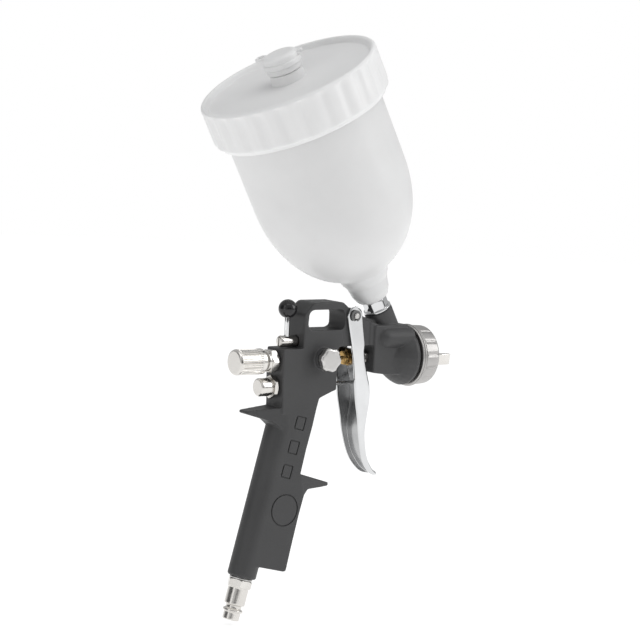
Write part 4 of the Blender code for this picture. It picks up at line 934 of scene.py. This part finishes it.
def vent():
    """The drip-proof vent cap with its eye and its tab."""
    base = VENT_BASE
    cap = lathe("vent_stack", [(base + 11, 0), (base + 11, 8.2), (base + 10.7, 9.0),
                               (base + 9.8, 10.6), (base + 7.1, 10.8), (base + 6.8, 10.4),
                               (base + 6.5, 11.4), (base + 3.7, 11.7), (base + 3.3, 10.7),
                               (base + 0.8, 10.9), (base, 10.2), (base, 0)],
                CUP_FOOT, CUP_AXIS, 96, edge=0.3)
    turn = Z_AXIS.rotation_difference(CUP_AXIS).to_matrix().to_4x4()
    across_x, across_y, rise = VENT_EYE
    centre = Matrix.Translation(CUP_FOOT + CUP_AXIS * (base + rise) * MM) @ turn
    eye = lathe("vent_eye", [(0.9, 3.8), (-0.9, 3.8), (-0.9, 2.2), (0.9, 2.2)], sides=40,
                axis=Z_AXIS)
    eye.matrix_world = centre @ Matrix.Translation((across_x * MM, across_y * MM, 0))
    tab = bar("vent_tab", (8.8, -1.6, -0.8), (13.8, 1.6, 0.8))
    tab.matrix_world = centre @ Matrix.Rotation(-pi / 4, 4, "Z")
    carve(cap, [eye, tab], "UNION")
    soften(cap, 0.28, 3)
    finish(cap, LID_SKIN, "vent", "lid_plastic", "vent_cap")


def hidden_nodes():
    """Pieces inside the gun keep their CAD shape and take the right finish."""
    for node, skin in (("needle_packing", PTFE), ("needle_spring", STEEL),
                       ("air_valve_spring", STEEL), ("air_valve_seal", RUBBER),
                       ("air_baffle", CLIP), ("fan_spindle", BRASS)):
        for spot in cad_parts[node].material_slots:
            spot.material = skin


# ---- stage ----------------------------------------------------------------------------------
FLOOR_R = 3.2                       # m, as all lengths from here on
MIDDLE = (-0.077, 0, 0.02)          # where the lights point
ROOM_STRENGTH = 0.55
DARK_FLAGS = (                      # direction, cosine at its edge, softness, light left
    ((-0.25, -0.93, -0.27), 0.80, 0.10, 0.10),
    ((-0.93, 0.30, 0.05), 0.84, 0.10, 0.12),
    ((0.75, -0.60, -0.20), 0.90, 0.05, 0.12))


def floor():
    low = CAD_BOX[0][2] - 0.002
    rim = [(FLOOR_R * cos(2 * pi * k / 96), FLOOR_R * sin(2 * pi * k / 96), low)
           for k in range(96)]
    made = mesh_object("floor", rim, [tuple(range(96))])
    n = Nodes("pale_floor")
    tone = n.mix(n.span(n.noise(n.place(), 6.0, 3.0), 0.3, 0.7, 0.0, 1.0), (0.38, 0.38, 0.38),
                 (0.40, 0.40, 0.40))
    skin = n.done(Base_Color=tone, Roughness=0.8, Emission_Color=(1, 1, 1, 1),
                  Emission_Strength=0.82, Specular_IOR_Level=0.0)
    made.data.materials.append(skin)


def softbox(name, spot, size, watts):
    light = bpy.data.lights.new(name, "AREA")
    light.shape = "RECTANGLE"
    light.size, light.size_y = size
    light.energy = watts
    made = bpy.data.objects.new(name, light)
    bpy.context.scene.collection.objects.link(made)
    made.location = spot
    made.rotation_mode = "QUATERNION"
    made.rotation_quaternion = (Vector(MIDDLE) - Vector(spot)).to_track_quat("-Z", "Y")
    made.visible_camera = False


def multiply(tree, first, second):
    """A node that multiplies an output by another output or by a number."""
    made = tree.nodes.new("ShaderNodeMath")
    made.operation = "MULTIPLY"
    tree.links.new(first, made.inputs[0])
    if isinstance(second, bpy.types.NodeSocket):
        tree.links.new(second, made.inputs[1])
    else:
        made.inputs[1].default_value = second
    return made.outputs[0]


def flag(tree, way, direction, edge, soft, dark):
    """How bright the room is in a direction, with a dark round patch about one of them."""
    dot = tree.nodes.new("ShaderNodeVectorMath")
    dot.operation = "DOT_PRODUCT"
    tree.links.new(way, dot.inputs[0])
    dot.inputs[1].default_value = Vector(direction).normalized()
    ramp = tree.nodes.new("ShaderNodeMapRange")
    ramp.interpolation_type = "SMOOTHSTEP"
    tree.links.new(dot.outputs["Value"], ramp.inputs["Value"])
    ramp.inputs["From Min"].default_value = edge - soft
    ramp.inputs["From Max"].default_value = edge + soft
    ramp.inputs["To Min"].default_value = 1.0
    ramp.inputs["To Max"].default_value = dark
    return ramp.outputs["Result"]


def background(tree, colour, strength):
    """A background shader whose strength is a number or an output."""
    made = tree.nodes.new("ShaderNodeBackground")
    made.inputs["Color"].default_value = (*colour, 1.0)
    if isinstance(strength, bpy.types.NodeSocket):
        tree.links.new(strength, made.inputs["Strength"])
    else:
        made.inputs["Strength"].default_value = strength
    return made.outputs[0]


def studio():
    """White room with three dark flags, an overhead softbox, a key and a fill."""
    world = bpy.data.worlds.new("studio")
    bpy.context.scene.world = world
    world.use_nodes = True
    tree = world.node_tree
    tree.nodes.clear()
    way = tree.nodes.new("ShaderNodeTexCoord").outputs["Generated"]
    level, *others = [flag(tree, way, *values) for values in DARK_FLAGS]
    for other in others:
        level = multiply(tree, level, other)
    room = background(tree, (0.99, 0.995, 1.0), multiply(tree, level, ROOM_STRENGTH))
    paper = background(tree, (1, 1, 1), 1.0)
    blend = tree.nodes.new("ShaderNodeMixShader")
    seen = tree.nodes.new("ShaderNodeLightPath").outputs["Is Camera Ray"]
    tree.links.new(seen, blend.inputs[0])
    tree.links.new(room, blend.inputs[1])
    tree.links.new(paper, blend.inputs[2])
    out = tree.nodes.new("ShaderNodeOutputWorld")
    tree.links.new(blend.outputs[0], out.inputs["Surface"])
    softbox("top_box", (-0.15, -0.25, 1.1), (0.9, 0.9), 3.0)
    softbox("key_box", (0.75, -0.75, 0.55), (0.6, 0.9), 4.9)
    softbox("left_box", (-1.05, -0.15, 0.25), (0.35, 1.0), 1.0)


def camera():
    azimuth, elevation, roll = radians(-36.97), radians(6.05), radians(2.81)
    target = Vector((-0.07734, 0, 0.02362))
    distance = 1.20895
    back = Vector((sin(azimuth) * cos(elevation), -cos(azimuth) * cos(elevation),
                   sin(elevation)))
    right = (-back).cross(Z_AXIS).normalized()
    up = right.cross(-back)
    across = right * cos(roll) + up * sin(roll)
    over = -right * sin(roll) + up * cos(roll)
    data = bpy.data.cameras.new("camera")
    data.lens = 112.5
    data.sensor_width = 36.0
    data.clip_start = 0.05
    data.clip_end = 20.0
    made = bpy.data.objects.new("camera", data)
    bpy.context.scene.collection.objects.link(made)
    facing = Matrix((across, over, back)).transposed().to_4x4()
    made.matrix_world = Matrix.Translation(target + back * distance) @ facing
    bpy.context.scene.camera = made


camera()
casting()
cap_ring()
spray_cap()
nozzle()
needle_parts()
fluid_side()
air_side()
air_plug()
fan_side()
lever()
trigger()
pivot()
cup()
cup_insert()
lid()
vent()
hidden_nodes()
floor()
studio()
bpy.context.scene.view_settings.view_transform = "Standard"
